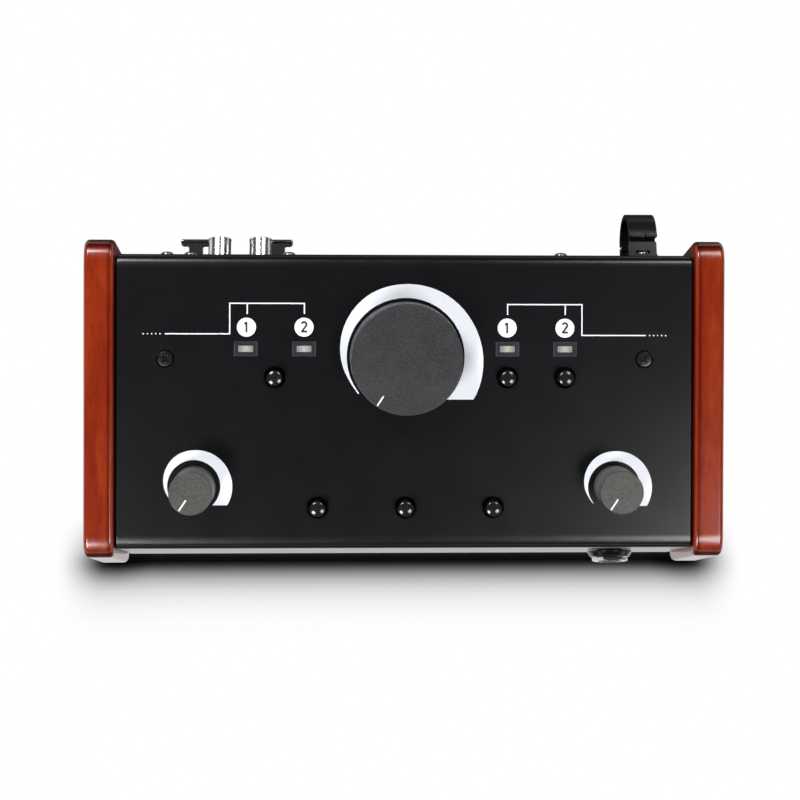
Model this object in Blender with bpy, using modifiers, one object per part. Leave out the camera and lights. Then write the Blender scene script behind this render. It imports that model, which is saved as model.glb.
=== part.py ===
"""Studio monitor controller: a wedge-shaped steel box between two wooden cheeks.

Metres, +Z up, the front towards -Y. The origin is at table level under the middle of the
whole object. Pieces on the sloping top are placed in the panel's own frame: x to the right,
y up the slope from the front corner, z out of the panel.
"""
import math

import bmesh
import bpy
from mathutils import Matrix, Vector

# Clearances shared by all pieces
GAP = 0.0003            # between faces that rest on each other
RUN = 0.0004            # round a shaft, a stem or a screw
OVERRUN = 0.001         # how far a cut runs past the face it opens
MERGE = 0.00001

# Casing
CASE_WIDTH = 0.225
CHEEK_THICK = 0.0105
CHEEK_PROUD = 0.0029    # of the cheek's top over the panel
CHEEK_FRONT = 0.0022    # overhang past the panel's front corner, along the slope
CHEEK_REAR = 0.0062     # overhang past the panel's rear corner, along the slope
CHEEK_LIFT = 0.0025     # of the cheek's lower edge over the table
CHEEK_CORNER = 0.0050
CHEEK_ARRIS = 0.0013
SLOPE = math.radians(14.5)
PANEL_LENGTH = 0.1032   # along the slope, from corner to corner
FRONT_HEIGHT = 0.0440   # of the panel's front corner over the table
SHEET = 0.0012
BEND = 0.0028           # outer radius of the cover's folds
COVER_HEM = 0.0042      # height of the front wall's lower edge over the table
LIP = 0.0100            # height of the cover's rear lip
TRAY_BEND = 0.0016
TRAY_GAP = 0.0017       # from the tray's walls to the underside of the cover
UPTURN = 0.0090         # height of the tray's front edge over the base

# Push-in rubber feet
FOOT_HEIGHT = 0.0027
FOOT_RADIUS = 0.0060
FOOT_STEM = 0.0022
FOOT_BARB = 0.0030      # radius of the barb inside the base
FOOT_BARB_HEIGHT = 0.0020
FOOT_INSET = 0.0170     # from the inner face of the cheek
FOOT_MARGIN = 0.0140    # from the tray's front and rear walls

# Screws
SCREW_RADIUS = 0.0015
HEAD_RADIUS = 0.0026
HEAD_HEIGHT = 0.0017
LIP_SCREW_LENGTH = 0.0060
LIP_SCREW_DROP = 0.0056     # below the cover's rear corner
LIP_SCREWS_SHARE = (-0.826, -0.745, -0.405, 0.542)     # of half the inner width
SUNK_RADIUS = 0.0029
SUNK_DEPTH = 0.0016
SUNK_LENGTH = 0.0062
RECESS_ARM = 0.0034
RECESS_WIDTH = 0.0006
RECESS_DEPTH = 0.0008

# Studs of the tray that the cheeks sit on
STUD_RADIUS = 0.0020
STUD_LENGTH = 0.0070
STUD_INSET = 0.0180         # from the tray's front and rear walls
STUD_RISE = 0.0150          # over the base
STUD_DROP = 0.0120          # of the upper stud below the panel
STUD_MARGIN = 0.0372        # of the upper stud, from the panel's rear corner

# Tabs of the tray under the top's two screws
TOP_SCREW_INSET = 0.0176    # from the inner face of the cheek
TOP_SCREW_MARGIN = 0.0372   # from the panel's rear corner
TAB_WIDTH = 0.0160
TAB_REACH = 0.0060          # of the tab past its screw
TAB_THICK = 0.0020

# Boards
BOARD = 0.0016
BOARD_DROP = 0.0120         # control board's upper face below the top's outer face
CONTROL_MARGIN = 0.0055     # from the tray's side walls
CONTROL_FRONT = 0.0075
CONTROL_BACK = 0.0207       # from the board to the panel's rear corner
POST_RADIUS = 0.0026
PEG_RADIUS = 0.0012         # of a post's end, through its board
PEG_REACH = 0.0012          # past the board
POST_INSET = 0.0070         # of the rear posts from the board's side edges
POST_MARGIN = 0.0042        # of all posts from the board's front and rear edges
FRONT_POST_SHARE = 0.51     # of half the inner width
MAIN_MARGIN = 0.0075        # from the tray's side walls
MAIN_RISE = 0.0055          # over the base
MAIN_FRONT = 0.0340         # behind the front wall
MAIN_REAR = 0.0040          # in front of the rear wall
STANDOFF_EDGE = 0.0190      # from the main board's side edges
STANDOFF_INSET = 0.0080     # from the main board's front and rear edges
RIBBON_WIDTH = 0.0240
RIBBON_THICK = 0.0009
RIBBON_BEND = 0.0040
RIBBON_ROW = 0.0420         # where the ribbon leaves the control board
RIBBON_SWAY = 0.0120

# Knobs and potentiometers
VOLUME_MARGIN = 0.0367      # from the panel's rear corner
SMALL_KNOB_INSET = 0.0280   # from the inner face of the cheek
SMALL_KNOB_ROW = 0.0210
SHAFT_RADIUS = 0.0030
BUSHING_RADIUS = 0.0036
BUSHING_REACH = 0.0030      # over the panel
NUT_RADIUS = 0.0054
NUT_THICK = 0.0020
SMALL_CAN_RADIUS = 0.0080
VOLUME_CAN_RADIUS = 0.0110
TERMINAL_WIDTH = 0.0120
TERMINAL_REACH = 0.0030     # of the terminal block past the can
KNOB_LIFT = 0.0006          # of the skirt over the panel
KNOB_ROUND = 0.0004
HUB_WALL = 0.0012
BORE_ROOF = 0.0040          # between the shaft's end and the knob's top
SMALL_KNOB_RADIUS = 0.0075
SMALL_KNOB_HEIGHT = 0.0158
SMALL_KNOB_WALL = 0.0011
VOLUME_KNOB_RADIUS = 0.0198
VOLUME_KNOB_TOP = 0.0194    # radius at the top
VOLUME_KNOB_HEIGHT = 0.0140
VOLUME_KNOB_WALL = 0.0018
KNOB_ROOF = 0.0025

# Push buttons and switches
UPPER_MARGIN = 0.0437       # of the upper buttons, from the panel's rear corner
LOWER_ROW = 0.0137
LAMP_MARGIN = 0.0337        # from the panel's rear corner
INNER_COLUMN_SHARE = 0.351  # of half the inner width
OUTER_COLUMN_SHARE = 0.551
LOWER_PITCH_SHARE = 0.303
CAP_RADIUS = 0.0027
CAP_HEIGHT = 0.0046         # over the panel
CAP_ROUND = 0.0005
CAP_HOLE_RADIUS = 0.0038
CAP_TRAVEL = 0.0020
STEM_RADIUS = 0.0014
STEM_LENGTH = 0.0055
SWITCH_WIDTH = 0.0080
SWITCH_HEIGHT = 0.0060

# Lamps
LAMP_WIDTH = 0.0078
LAMP_DEPTH = 0.0049
LENS_WIDTH = 0.0053
LENS_DEPTH = 0.0023
LENS_SINK = 0.0003

# Rear sockets: places are world X and the drop below the panel's rear corner
FLANGE_SPACE = 0.0008       # between neighbouring output flanges
FLANGE_HEIGHT = 0.0310
FLANGE_THICK = 0.0026
FLANGE_CORNER = 0.0030
FLANGE_HOLE_INSET = 0.0035  # from the flange's edges
FLANGE_HOLE = 0.0017
SOCKET_DROP = 0.0368
SOCKET_EDGE = 0.0013        # of the flange beside the round body
SOCKET_DEPTH = 0.0220       # behind the wall's outer face
COMBO_SHARES = (-0.7434, -0.4507)      # of half the inner width
GROOVE_WALL = 0.0021        # outside the groove
GROOVE_WIDTH = 0.0017
GROOVE_DEPTH = 0.0110
CONTACT_WALL = 0.0011       # between the contact holes and the jack's bore
JACK_BORE_DEPTH = 0.0200
CONTACT_EDGE = 0.0022       # from the groove to the contact holes' centres
CONTACT_RADIUS = 0.0012
CONTACT_DEPTH = 0.0090
LATCH_ROW = 0.0128          # over the socket's centre
LATCH_REACH = 0.0086        # past the flange
LATCH_ROOT = 0.0016         # inside the flange
LATCH_THICK = 0.0012
LATCH_NECK = 0.0052
LATCH_HEAD = 0.0109
LATCH_HEAD_DEPTH = 0.0032
LATCH_ROUND = 0.0012
OUTPUT_FIRST_SHARE = -0.1422            # of half the inner width
OUTPUT_PITCH_SHARE = 0.2627
CUP_WALL = 0.0021
CUP_DEPTH = 0.0130
PIN_CIRCLE = 0.0042
PIN_RADIUS = 0.0012
PIN_LENGTH = 0.0112
RCA_MIDDLE_SHARE = -0.5804  # of half the inner width
RCA_PITCH = 0.01474
RCA_DROP = 0.0150
RCA_SHELL_RADIUS = 0.00415
RCA_SHELL_WALL = 0.0004
RCA_REACH = 0.0098          # of the shell past the wall
RCA_COLLAR = 0.0018         # depth of the plastic collar outside the wall
RCA_COLLAR_RADIUS = 0.0044
RCA_BLOCK_HEIGHT = 0.0100
RCA_BLOCK_DEPTH = 0.0110
RCA_HOLE = 0.0016
RCA_HOLE_DEPTH = 0.0080
RCA_CORE_SINK = 0.0010      # of the plastic core below the shell's rim
DC_INSET = 0.0120           # from the inner face of the cheek
DC_ROW = 0.0250
DC_WIDTH = 0.0090
DC_HEIGHT = 0.0110
DC_DEPTH = 0.0140
DC_NECK = 0.0040
DC_BORE = 0.0029
DC_PIN = 0.0009
DC_REACH = 0.0006
DC_BORE_DEPTH = 0.0100

# Cable clamp on the rear wall
CLAMP_SHARE = 0.845         # of half the inner width
CLAMP_WIDTH = 0.0102
CLAMP_DROP = 0.0208         # of the ring's centre below the panel's rear corner
CLAMP_STANDOFF = 0.0114     # ring's centre from the wall
CLAMP_OUTER = 0.0102
CLAMP_INNER = 0.0084
CLAMP_RIM = 0.0005          # base's shoulder over the ring's bore
CLAMP_FOOT = 0.0040         # thickness of the foot at the wall
CLAMP_HOOK = 0.0007
CLAMP_SCREW_RADIUS = 0.0022
CLAMP_SPLIT = math.radians(104)
CLAMP_HOOK_ANGLE = math.radians(14)

# Headphone jack in the front wall
PHONES_INSET = 0.0257       # from the inner face of the cheek
PHONES_ROW = 0.0200
PHONES_BODY_WIDTH = 0.0150
PHONES_BODY_HEIGHT = 0.0130
PHONES_BODY_DEPTH = 0.0230
PHONES_BUSHING = 0.0045
PHONES_BORE = 0.0034
PHONES_REACH = 0.0050       # of the bushing past the front wall
PHONES_BEZEL_RADIUS = 0.0081
PHONES_BEZEL = 0.0021
PHONES_NUT_RADIUS = 0.0066
PHONES_NUT = 0.0019

# Places that follow from the sizes above
INNER_HALF = CASE_WIDTH / 2 - CHEEK_THICK
TRAY_HALF = INNER_HALF - GAP
TOP_SCREW_COLUMN = INNER_HALF - TOP_SCREW_INSET
SMALL_KNOB_COLUMN = INNER_HALF - SMALL_KNOB_INSET
INNER_COLUMN = INNER_HALF * INNER_COLUMN_SHARE
OUTER_COLUMN = INNER_HALF * OUTER_COLUMN_SHARE
LOWER_PITCH = INNER_HALF * LOWER_PITCH_SHARE
CONTROL_HALF = TRAY_HALF - SHEET - CONTROL_MARGIN
MAIN_HALF = TRAY_HALF - SHEET - MAIN_MARGIN
OUTPUT_PITCH = INNER_HALF * OUTPUT_PITCH_SHARE
FLANGE_WIDTH = OUTPUT_PITCH - FLANGE_SPACE
SOCKET_RADIUS = FLANGE_WIDTH / 2 - SOCKET_EDGE
CUP_RADIUS = SOCKET_RADIUS - CUP_WALL
GROOVE_OUTER = SOCKET_RADIUS - GROOVE_WALL
GROOVE_INNER = GROOVE_OUTER - GROOVE_WIDTH
CONTACT_CIRCLE = GROOVE_INNER - CONTACT_EDGE
COMBO_BORE = CONTACT_CIRCLE - CONTACT_RADIUS - CONTACT_WALL
FLANGE_HOLE_X = FLANGE_WIDTH / 2 - FLANGE_HOLE_INSET
FLANGE_HOLE_Y = FLANGE_HEIGHT / 2 - FLANGE_HOLE_INSET
RCA_MIDDLE = INNER_HALF * RCA_MIDDLE_SHARE
DC_COLUMN = INNER_HALF - DC_INSET
CLAMP_COLUMN = INNER_HALF * CLAMP_SHARE
PHONES_COLUMN = INNER_HALF - PHONES_INSET
PANEL_RISE = PANEL_LENGTH * math.sin(SLOPE)
PANEL_RUN = PANEL_LENGTH * math.cos(SLOPE)
WALL_FROM_FRONT = PANEL_RUN - SHEET - GAP
REAR_REACH = WALL_FROM_FRONT + CLAMP_STANDOFF + CLAMP_OUTER
FRONT_Y = (PHONES_REACH - REAR_REACH) / 2
REAR_Y = FRONT_Y + PANEL_RUN
WALL_Y = FRONT_Y + WALL_FROM_FRONT
REAR_HEIGHT = FRONT_HEIGHT + PANEL_RISE
SOCKET_ROW = REAR_HEIGHT - SOCKET_DROP
RCA_ROW = REAR_HEIGHT - RCA_DROP
CLAMP_ROW = REAR_HEIGHT - CLAMP_DROP
TOP_SCREW_ROW = PANEL_LENGTH - TOP_SCREW_MARGIN
STUD_ROW = PANEL_LENGTH - STUD_MARGIN
CONTROL_REAR = PANEL_LENGTH - CONTROL_BACK
VOLUME_ROW = PANEL_LENGTH - VOLUME_MARGIN
UPPER_ROW = PANEL_LENGTH - UPPER_MARGIN
LAMP_ROW = PANEL_LENGTH - LAMP_MARGIN
BASE_Z = FOOT_HEIGHT + GAP
BASE_TOP = BASE_Z + SHEET
TRAY_FRONT = FRONT_Y + SHEET + GAP
UNDERSIDE = -SHEET - GAP
BOARD_TOP = -BOARD_DROP
SCREW_HOLE = SCREW_RADIUS + RUN

# Turning steps of round pieces
FINE = 48
ROUND = 24
SMALL = 16
TINY = 8

KNOBS = {
    "volume": (0, VOLUME_ROW, VOLUME_CAN_RADIUS, VOLUME_KNOB_RADIUS, VOLUME_KNOB_TOP,
               VOLUME_KNOB_HEIGHT, VOLUME_KNOB_WALL, FINE),
    "aux": (-SMALL_KNOB_COLUMN, SMALL_KNOB_ROW, SMALL_CAN_RADIUS, SMALL_KNOB_RADIUS,
            SMALL_KNOB_RADIUS, SMALL_KNOB_HEIGHT, SMALL_KNOB_WALL, ROUND),
    "headphone": (SMALL_KNOB_COLUMN, SMALL_KNOB_ROW, SMALL_CAN_RADIUS, SMALL_KNOB_RADIUS,
                  SMALL_KNOB_RADIUS, SMALL_KNOB_HEIGHT, SMALL_KNOB_WALL, ROUND),
}
BUTTONS = {
    "input_select": (-(INNER_COLUMN + OUTER_COLUMN) / 2, UPPER_ROW),
    "output_1": (INNER_COLUMN, UPPER_ROW),
    "output_2": (OUTER_COLUMN, UPPER_ROW),
    "mono": (-LOWER_PITCH, LOWER_ROW),
    "mute": (0, LOWER_ROW),
    "listen": (LOWER_PITCH, LOWER_ROW),
}
LAMP_COLUMNS = (-OUTER_COLUMN, -INNER_COLUMN, INNER_COLUMN, OUTER_COLUMN)
COMBOS = {side: INNER_HALF * share for side, share in zip(("left", "right"), COMBO_SHARES)}
OUTPUTS = [INNER_HALF * OUTPUT_FIRST_SHARE + OUTPUT_PITCH * index for index in range(4)]
RCAS = {"left": RCA_MIDDLE - RCA_PITCH / 2, "right": RCA_MIDDLE + RCA_PITCH / 2}
SIDEWAYS = (math.pi / 2, 0, math.pi / 2)    # an outline in x, y stands in the Y-Z plane


def clear_scene():
    for item in list(bpy.data.objects):
        bpy.data.objects.remove(item)


def new_collection(name):
    group = bpy.data.collections.new(name)
    bpy.context.scene.collection.children.link(group)
    return group


def new_material(name, colour, roughness, metallic=0.0):
    made = bpy.data.materials.new(name)
    made.use_nodes = True
    shader = made.node_tree.nodes["Principled BSDF"]
    shader.inputs["Base Color"].default_value = (*colour, 1)
    shader.inputs["Roughness"].default_value = roughness
    shader.inputs["Metallic"].default_value = metallic
    made.diffuse_color = (*colour, 1)
    return made


# Helpers that add closed shapes to a bmesh

def add_box(bm, low, high):
    low, high = Vector(low), Vector(high)
    matrix = Matrix.Translation((low + high) / 2) @ Matrix.Diagonal((*(high - low), 1))
    bmesh.ops.create_cube(bm, size=1, matrix=matrix)


def add_cylinder(bm, radius, low, high, place=(0, 0), steps=ROUND, top=None):
    matrix = Matrix.Translation((*place, (low + high) / 2))
    bmesh.ops.create_cone(bm, cap_ends=True, segments=steps, radius1=radius,
                          radius2=radius if top is None else top, depth=high - low,
                          matrix=matrix)


def add_stepped(bm, profile, place, steps=TINY):
    """A turned solid: the profile runs from the axis round to the axis."""
    spots = [Vector((place[0] + radius, place[1], height)) for radius, height in profile]
    verts = [bm.verts.new(spot) for spot in spots]
    edges = [bm.edges.new(pair) for pair in zip(verts, verts[1:])]
    bmesh.ops.spin(bm, geom=verts + edges, cent=(*place, 0), axis=(0, 0, 1),
                   angle=2 * math.pi, steps=steps, use_merge=True)
    bmesh.ops.remove_doubles(bm, verts=bm.verts, dist=MERGE)
    bmesh.ops.recalc_face_normals(bm, faces=bm.faces)


def rounded(points, radius, steps=3, closed=True):
    """A path of points with each corner turned into an arc."""
    result = []
    for index, corner in enumerate(points):
        if not closed and index in (0, len(points) - 1):
            result.append(tuple(corner))
            continue
        corner = Vector(corner)
        back = (Vector(points[index - 1]) - corner).normalized()
        ahead = (Vector(points[(index + 1) % len(points)]) - corner).normalized()
        half = back.angle(ahead) / 2
        centre = corner + (back + ahead).normalized() * radius / math.sin(half)
        first = corner + back * radius / math.tan(half) - centre
        turn = math.copysign(math.pi - 2 * half, back.x * ahead.y - back.y * ahead.x)
        for step in range(steps + 1):
            spot = centre + Matrix.Rotation(-turn * step / steps, 2) @ first
            result.append(tuple(spot))
    return result


def arc(radius, start, end, steps, centre=(0, 0)):
    angles = [start + (end - start) * step / steps for step in range(steps + 1)]
    return [(centre[0] + radius * math.cos(a), centre[1] + radius * math.sin(a)) for a in angles]


def circle(radius, place=(0, 0), steps=TINY):
    return arc(radius, 0, 2 * math.pi, steps, place)[:-1]


class Bench:
    """Holds the collections and the frames that pieces are placed in."""

    def __init__(self):
        self.parts = new_collection("studio_monitor_controller")
        self.cutters = new_collection("cutters")
        self.panel = self.frame("panel_frame", (0, FRONT_Y, FRONT_HEIGHT), (SLOPE, 0, 0))
        self.rear = self.frame("rear_frame", (0, WALL_Y, 0), (math.pi / 2, 0, math.pi))
        self.front = self.frame("front_frame", (0, FRONT_Y, 0), (math.pi / 2, 0, 0))
        bpy.context.view_layer.update()

    def frame(self, name, place, turn):
        empty = bpy.data.objects.new(name, None)
        empty.location = place
        empty.rotation_euler = turn
        self.parts.objects.link(empty)
        return empty

    def put(self, name, data, material=None, frame=None, place=(0, 0, 0), turn=(0, 0, 0)):
        """A piece, or a cutter where it has no material."""
        made = bpy.data.objects.new(name, data)
        made.location = place
        made.rotation_euler = turn
        made.parent = frame
        if material is None:
            made.hide_render = True
            made.display_type = "WIRE"
            self.cutters.objects.link(made)
        else:
            data.materials.clear()
            data.materials.append(material)
            self.parts.objects.link(made)
        return made

    def solid(self, name, shapes, *where, **options):
        """A piece whose shapes are added to one bmesh by the function given."""
        bm = bmesh.new()
        shapes(bm)
        mesh = bpy.data.meshes.new(name)
        bm.to_mesh(mesh)
        bm.free()
        mesh.shade_smooth()
        mesh.set_sharp_from_angle(angle=math.radians(35))
        return self.put(name, mesh, *where, **options)

    def turned(self, name, profile, steps, *where, ring=False, **options):
        """A turned piece: the profile runs down its outer side, from the top."""
        count = len(profile)
        edges = [(index, index + 1) for index in range(count - 1)]
        if ring:
            edges.append((count - 1, 0))
        mesh = bpy.data.meshes.new(name)
        mesh.from_pydata([(radius, 0, height) for radius, height in profile], edges, [])
        made = self.put(name, mesh, *where, **options)
        screw = made.modifiers.new("turn", "SCREW")
        screw.steps = steps
        screw.render_steps = steps
        screw.use_merge_vertices = True
        screw.merge_threshold = MERGE
        return made

    def plate(self, name, outline, thick, *where, holes=(), **options):
        """A flat outline, extruded half its thickness to each side of its plane."""
        curve = bpy.data.curves.new(name, "CURVE")
        curve.dimensions = "2D"
        curve.fill_mode = "BOTH"
        curve.extrude = thick / 2
        for loop in (outline, *holes):
            spline = curve.splines.new("POLY")
            spline.points.add(len(loop) - 1)
            for point, (x, y) in zip(spline.points, loop):
                point.co = (x, y, 0, 1)
            spline.use_cyclic_u = True
        guide = bpy.data.objects.new(name + "_outline", curve)
        self.cutters.objects.link(guide)
        mesh = self.baked(guide)
        bm = bmesh.new()
        bm.from_mesh(mesh)
        bmesh.ops.remove_doubles(bm, verts=bm.verts, dist=MERGE)
        if not holes:
            bmesh.ops.dissolve_limit(bm, angle_limit=math.radians(1), verts=bm.verts,
                                     edges=bm.edges)
        bmesh.ops.recalc_face_normals(bm, faces=bm.faces)
        bm.to_mesh(mesh)
        bm.free()
        bpy.data.objects.remove(guide)
        return self.put(name, mesh, *where, **options)

    def folded(self, name, path, width, thick, *where, **options):
        """A folded sheet: the path is its outer side in y, z, and it spans x."""
        bm = bmesh.new()
        left = [bm.verts.new((-width / 2, y, z)) for y, z in path]
        edges = [bm.edges.new(pair) for pair in zip(left, left[1:])]
        grown = bmesh.ops.extrude_edge_only(bm, edges=edges)
        moved = [item for item in grown["geom"] if isinstance(item, bmesh.types.BMVert)]
        bmesh.ops.translate(bm, verts=moved, vec=(width, 0, 0))
        bm.normal_update()
        first = left[0].link_faces[0]
        along = left[1].co - left[0].co
        if first.normal.dot(Vector((1, 0, 0)).cross(along)) < 0:
            bmesh.ops.reverse_faces(bm, faces=bm.faces[:])
        mesh = bpy.data.meshes.new(name)
        bm.to_mesh(mesh)
        bm.free()
        made = self.put(name, mesh, *where, **options)
        shell = made.modifiers.new("sheet", "SOLIDIFY")
        shell.thickness = thick
        shell.offset = -1
        shell.use_even_offset = True
        return made

    def baked(self, item):
        bpy.context.view_layer.update()
        graph = bpy.context.evaluated_depsgraph_get()
        return bpy.data.meshes.new_from_object(item.evaluated_get(graph))

    def combine(self, target, other, operation="DIFFERENCE"):
        step = target.modifiers.new(operation.lower(), "BOOLEAN")
        step.operation = operation
        step.solver = "EXACT"
        step.object = other

    def cut(self, target, shapes, frame=None, place=(0, 0, 0), turn=(0, 0, 0)):
        name = target.name + "_cutter"
        self.combine(target, self.solid(name, shapes, frame=frame, place=place, turn=turn))

    def add(self, target, shapes, frame=None, place=(0, 0, 0), turn=(0, 0, 0)):
        name = target.name + "_addition"
        extra = self.solid(name, shapes, frame=frame, place=place, turn=turn)
        self.combine(target, extra, "UNION")


def on_panel(row, lift=0.0):
    """World Y and Z of a place on the panel."""
    return (FRONT_Y + row * math.cos(SLOPE) - lift * math.sin(SLOPE),
            FRONT_HEIGHT + row * math.sin(SLOPE) + lift * math.cos(SLOPE))


def stud_places():
    """World Y and Z of the studs on one side wall of the tray."""
    rise = BASE_Z + STUD_RISE
    return ((TRAY_FRONT + STUD_INSET, rise), (WALL_Y - STUD_INSET, rise),
            on_panel(STUD_ROW, -STUD_DROP))


def foot_places():
    x = INNER_HALF - FOOT_INSET
    rows = (TRAY_FRONT + FOOT_MARGIN, WALL_Y - FOOT_MARGIN)
    return [(side * x, y) for side in (-1, 1) for y in rows]


def standoff_places():
    column = MAIN_HALF - STANDOFF_EDGE
    rows = (FRONT_Y + MAIN_FRONT + STANDOFF_INSET, WALL_Y - MAIN_REAR - STANDOFF_INSET)
    return [(side * column, y) for side in (-1, 1) for y in rows]


def post_places():
    rear = (CONTROL_HALF - POST_INSET, CONTROL_REAR - POST_MARGIN)
    front = (INNER_HALF * FRONT_POST_SHARE, CONTROL_FRONT + POST_MARGIN)
    return [(side * x, y) for side in (-1, 1) for x, y in (rear, front)]


# Casing

def make_cheeks(bench, wood):
    top = CHEEK_PROUD
    front_top = on_panel(-CHEEK_FRONT, top)
    rear_top = on_panel(PANEL_LENGTH + CHEEK_REAR, top)
    corners = [(front_top[0], CHEEK_LIFT), (rear_top[0], CHEEK_LIFT), rear_top, front_top]
    outline = rounded(corners, CHEEK_CORNER, steps=4)
    for name, side in (("left_cheek", -1), ("right_cheek", 1)):
        middle = side * (CASE_WIDTH - CHEEK_THICK) / 2
        cheek = bench.plate(name, outline, CHEEK_THICK, wood, place=(middle, 0, 0),
                            turn=SIDEWAYS)
        arris = cheek.modifiers.new("arris", "BEVEL")
        arris.width = CHEEK_ARRIS
        arris.segments = 2
        arris.angle_limit = math.radians(40)
        bench.cut(cheek, lambda bm: stud_holes(bm, side))


def add_across(bm, radius, low, high, side, place):
    """A cylinder along X on one side of the middle, at a world Y and Z."""
    rod = bmesh.new()
    add_cylinder(rod, radius, low, high, steps=SMALL)
    turn = Matrix.Rotation(side * math.pi / 2, 4, "Y")
    rod.transform(Matrix.Translation((0, *place)) @ turn)
    append(bm, rod)


def stud_holes(bm, side):
    for place in stud_places():
        add_across(bm, STUD_RADIUS + RUN, INNER_HALF - OVERRUN,
                   TRAY_HALF + STUD_LENGTH + RUN, side, place)


def append(bm, other):
    mesh = bpy.data.meshes.new("shape")
    other.to_mesh(mesh)
    other.free()
    bm.from_mesh(mesh)
    bpy.data.meshes.remove(mesh)


def make_cover(bench, steel):
    path = [(FRONT_Y, COVER_HEM), (FRONT_Y, FRONT_HEIGHT), (REAR_Y, REAR_HEIGHT),
            (REAR_Y, REAR_HEIGHT - LIP)]
    path = rounded(path, BEND, steps=4, closed=False)
    cover = bench.folded("top_cover", path, 2 * TRAY_HALF, SHEET, steel)
    bench.add(cover, board_posts, frame=bench.panel)
    bench.cut(cover, panel_holes, frame=bench.panel)
    bench.cut(cover, front_hole, frame=bench.front)
    bench.cut(cover, lip_holes, frame=bench.rear)


def board_posts(bm):
    """Welded under the top: each carries the control board on its shoulder."""
    shoulder = BOARD_TOP + GAP
    end = BOARD_TOP - BOARD - PEG_REACH
    profile = [(0, -SHEET / 2), (POST_RADIUS, -SHEET / 2), (POST_RADIUS, shoulder),
               (PEG_RADIUS, shoulder), (PEG_RADIUS, end), (0, end)]
    for place in post_places():
        add_stepped(bm, profile, place)


def panel_holes(bm):
    low, high = UNDERSIDE - OVERRUN, OVERRUN
    for x, row, *_ in KNOBS.values():
        add_cylinder(bm, BUSHING_RADIUS + RUN, low, high, (x, row), SMALL)
    for place in BUTTONS.values():
        add_cylinder(bm, CAP_HOLE_RADIUS, low, high, place, ROUND)
    for x in LAMP_COLUMNS:
        half = Vector((LAMP_WIDTH / 2 + GAP, LAMP_DEPTH / 2 + GAP, 0))
        middle = Vector((x, LAMP_ROW, 0))
        add_box(bm, middle - half + Vector((0, 0, low)), middle + half + Vector((0, 0, high)))
    for side in (-1, 1):
        place = (side * TOP_SCREW_COLUMN, TOP_SCREW_ROW)
        funnel = SUNK_RADIUS + GAP + high
        spread = (SUNK_RADIUS - SCREW_RADIUS) / SUNK_DEPTH
        add_cylinder(bm, funnel + low * spread, low, high, place, SMALL, top=funnel)


def front_hole(bm):
    add_cylinder(bm, PHONES_BUSHING + RUN, -SHEET - OVERRUN, OVERRUN,
                 (PHONES_COLUMN, PHONES_ROW), SMALL)


def lip_screw_places():
    height = REAR_HEIGHT - LIP_SCREW_DROP
    return [(-share * INNER_HALF, height) for share in LIP_SCREWS_SHARE]


def lip_holes(bm):
    for place in lip_screw_places():
        add_cylinder(bm, SCREW_HOLE, GAP / 2, GAP + SHEET + OVERRUN, place, TINY)


def make_chassis(bench, steel):
    bm = bmesh.new()
    rear_edge = FRONT_Y + WALL_FROM_FRONT
    add_box(bm, (-TRAY_HALF, TRAY_FRONT, BASE_Z), (TRAY_HALF, rear_edge, REAR_HEIGHT))
    roof = [face for face in bm.faces if face.normal.z > 0.5]
    for vert in roof[0].verts:
        along = (vert.co.y - FRONT_Y) * math.tan(SLOPE)
        vert.co.z = FRONT_HEIGHT + along - (SHEET + TRAY_GAP) / math.cos(SLOPE)
    bmesh.ops.delete(bm, geom=roof, context="FACES_ONLY")
    folds = [edge for edge in bm.edges if len(edge.link_faces) == 2]
    bmesh.ops.bevel(bm, geom=folds, offset=TRAY_BEND, offset_type="OFFSET", segments=2,
                    profile=0.5, affect="EDGES")
    bmesh.ops.delete(bm, geom=[edge for edge in bm.edges if not edge.link_faces],
                     context="EDGES")
    mesh = bpy.data.meshes.new("chassis")
    bm.to_mesh(mesh)
    bm.free()
    tray = bench.put("chassis", mesh, steel)
    shell = tray.modifiers.new("sheet", "SOLIDIFY")
    shell.thickness = SHEET
    shell.offset = -1
    shell.use_even_offset = True
    bench.cut(tray, tray_front_cut)
    bench.add(tray, tray_studs)
    bench.add(tray, tray_tabs, frame=bench.panel)
    bench.cut(tray, tray_base_holes)
    bench.cut(tray, tab_holes, frame=bench.panel)
    bench.cut(tray, rear_wall_holes, frame=bench.rear)


def tray_front_cut(bm):
    half = TRAY_HALF - 2 * TRAY_BEND
    add_box(bm, (-half, TRAY_FRONT - OVERRUN, BASE_Z + UPTURN),
            (half, TRAY_FRONT + SHEET + OVERRUN, REAR_HEIGHT))


def tray_base_holes(bm):
    for place in foot_places():
        add_cylinder(bm, FOOT_STEM + RUN, BASE_Z - OVERRUN, BASE_TOP + OVERRUN, place, SMALL)


def tray_studs(bm):
    """Studs that the cheeks sit on, and posts that carry the main board."""
    for side in (-1, 1):
        for place in stud_places():
            add_across(bm, STUD_RADIUS, TRAY_HALF - SHEET / 2, TRAY_HALF + STUD_LENGTH, side,
                       place)
    shoulder = BASE_TOP + MAIN_RISE - GAP
    end = shoulder + GAP + BOARD + PEG_REACH
    profile = [(0, end), (PEG_RADIUS, end), (PEG_RADIUS, shoulder), (POST_RADIUS, shoulder),
               (POST_RADIUS, BASE_Z + SHEET / 2), (0, BASE_Z + SHEET / 2)]
    for place in standoff_places():
        add_stepped(bm, profile, place)


def tray_tabs(bm):
    """Flanges folded in from the side walls, close under the top."""
    for side in (-1, 1):
        ends = sorted((side * (TRAY_HALF - GAP), side * (TOP_SCREW_COLUMN - TAB_REACH)))
        add_box(bm, (ends[0], TOP_SCREW_ROW - TAB_WIDTH / 2, UNDERSIDE - TAB_THICK),
                (ends[1], TOP_SCREW_ROW + TAB_WIDTH / 2, UNDERSIDE))


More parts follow.
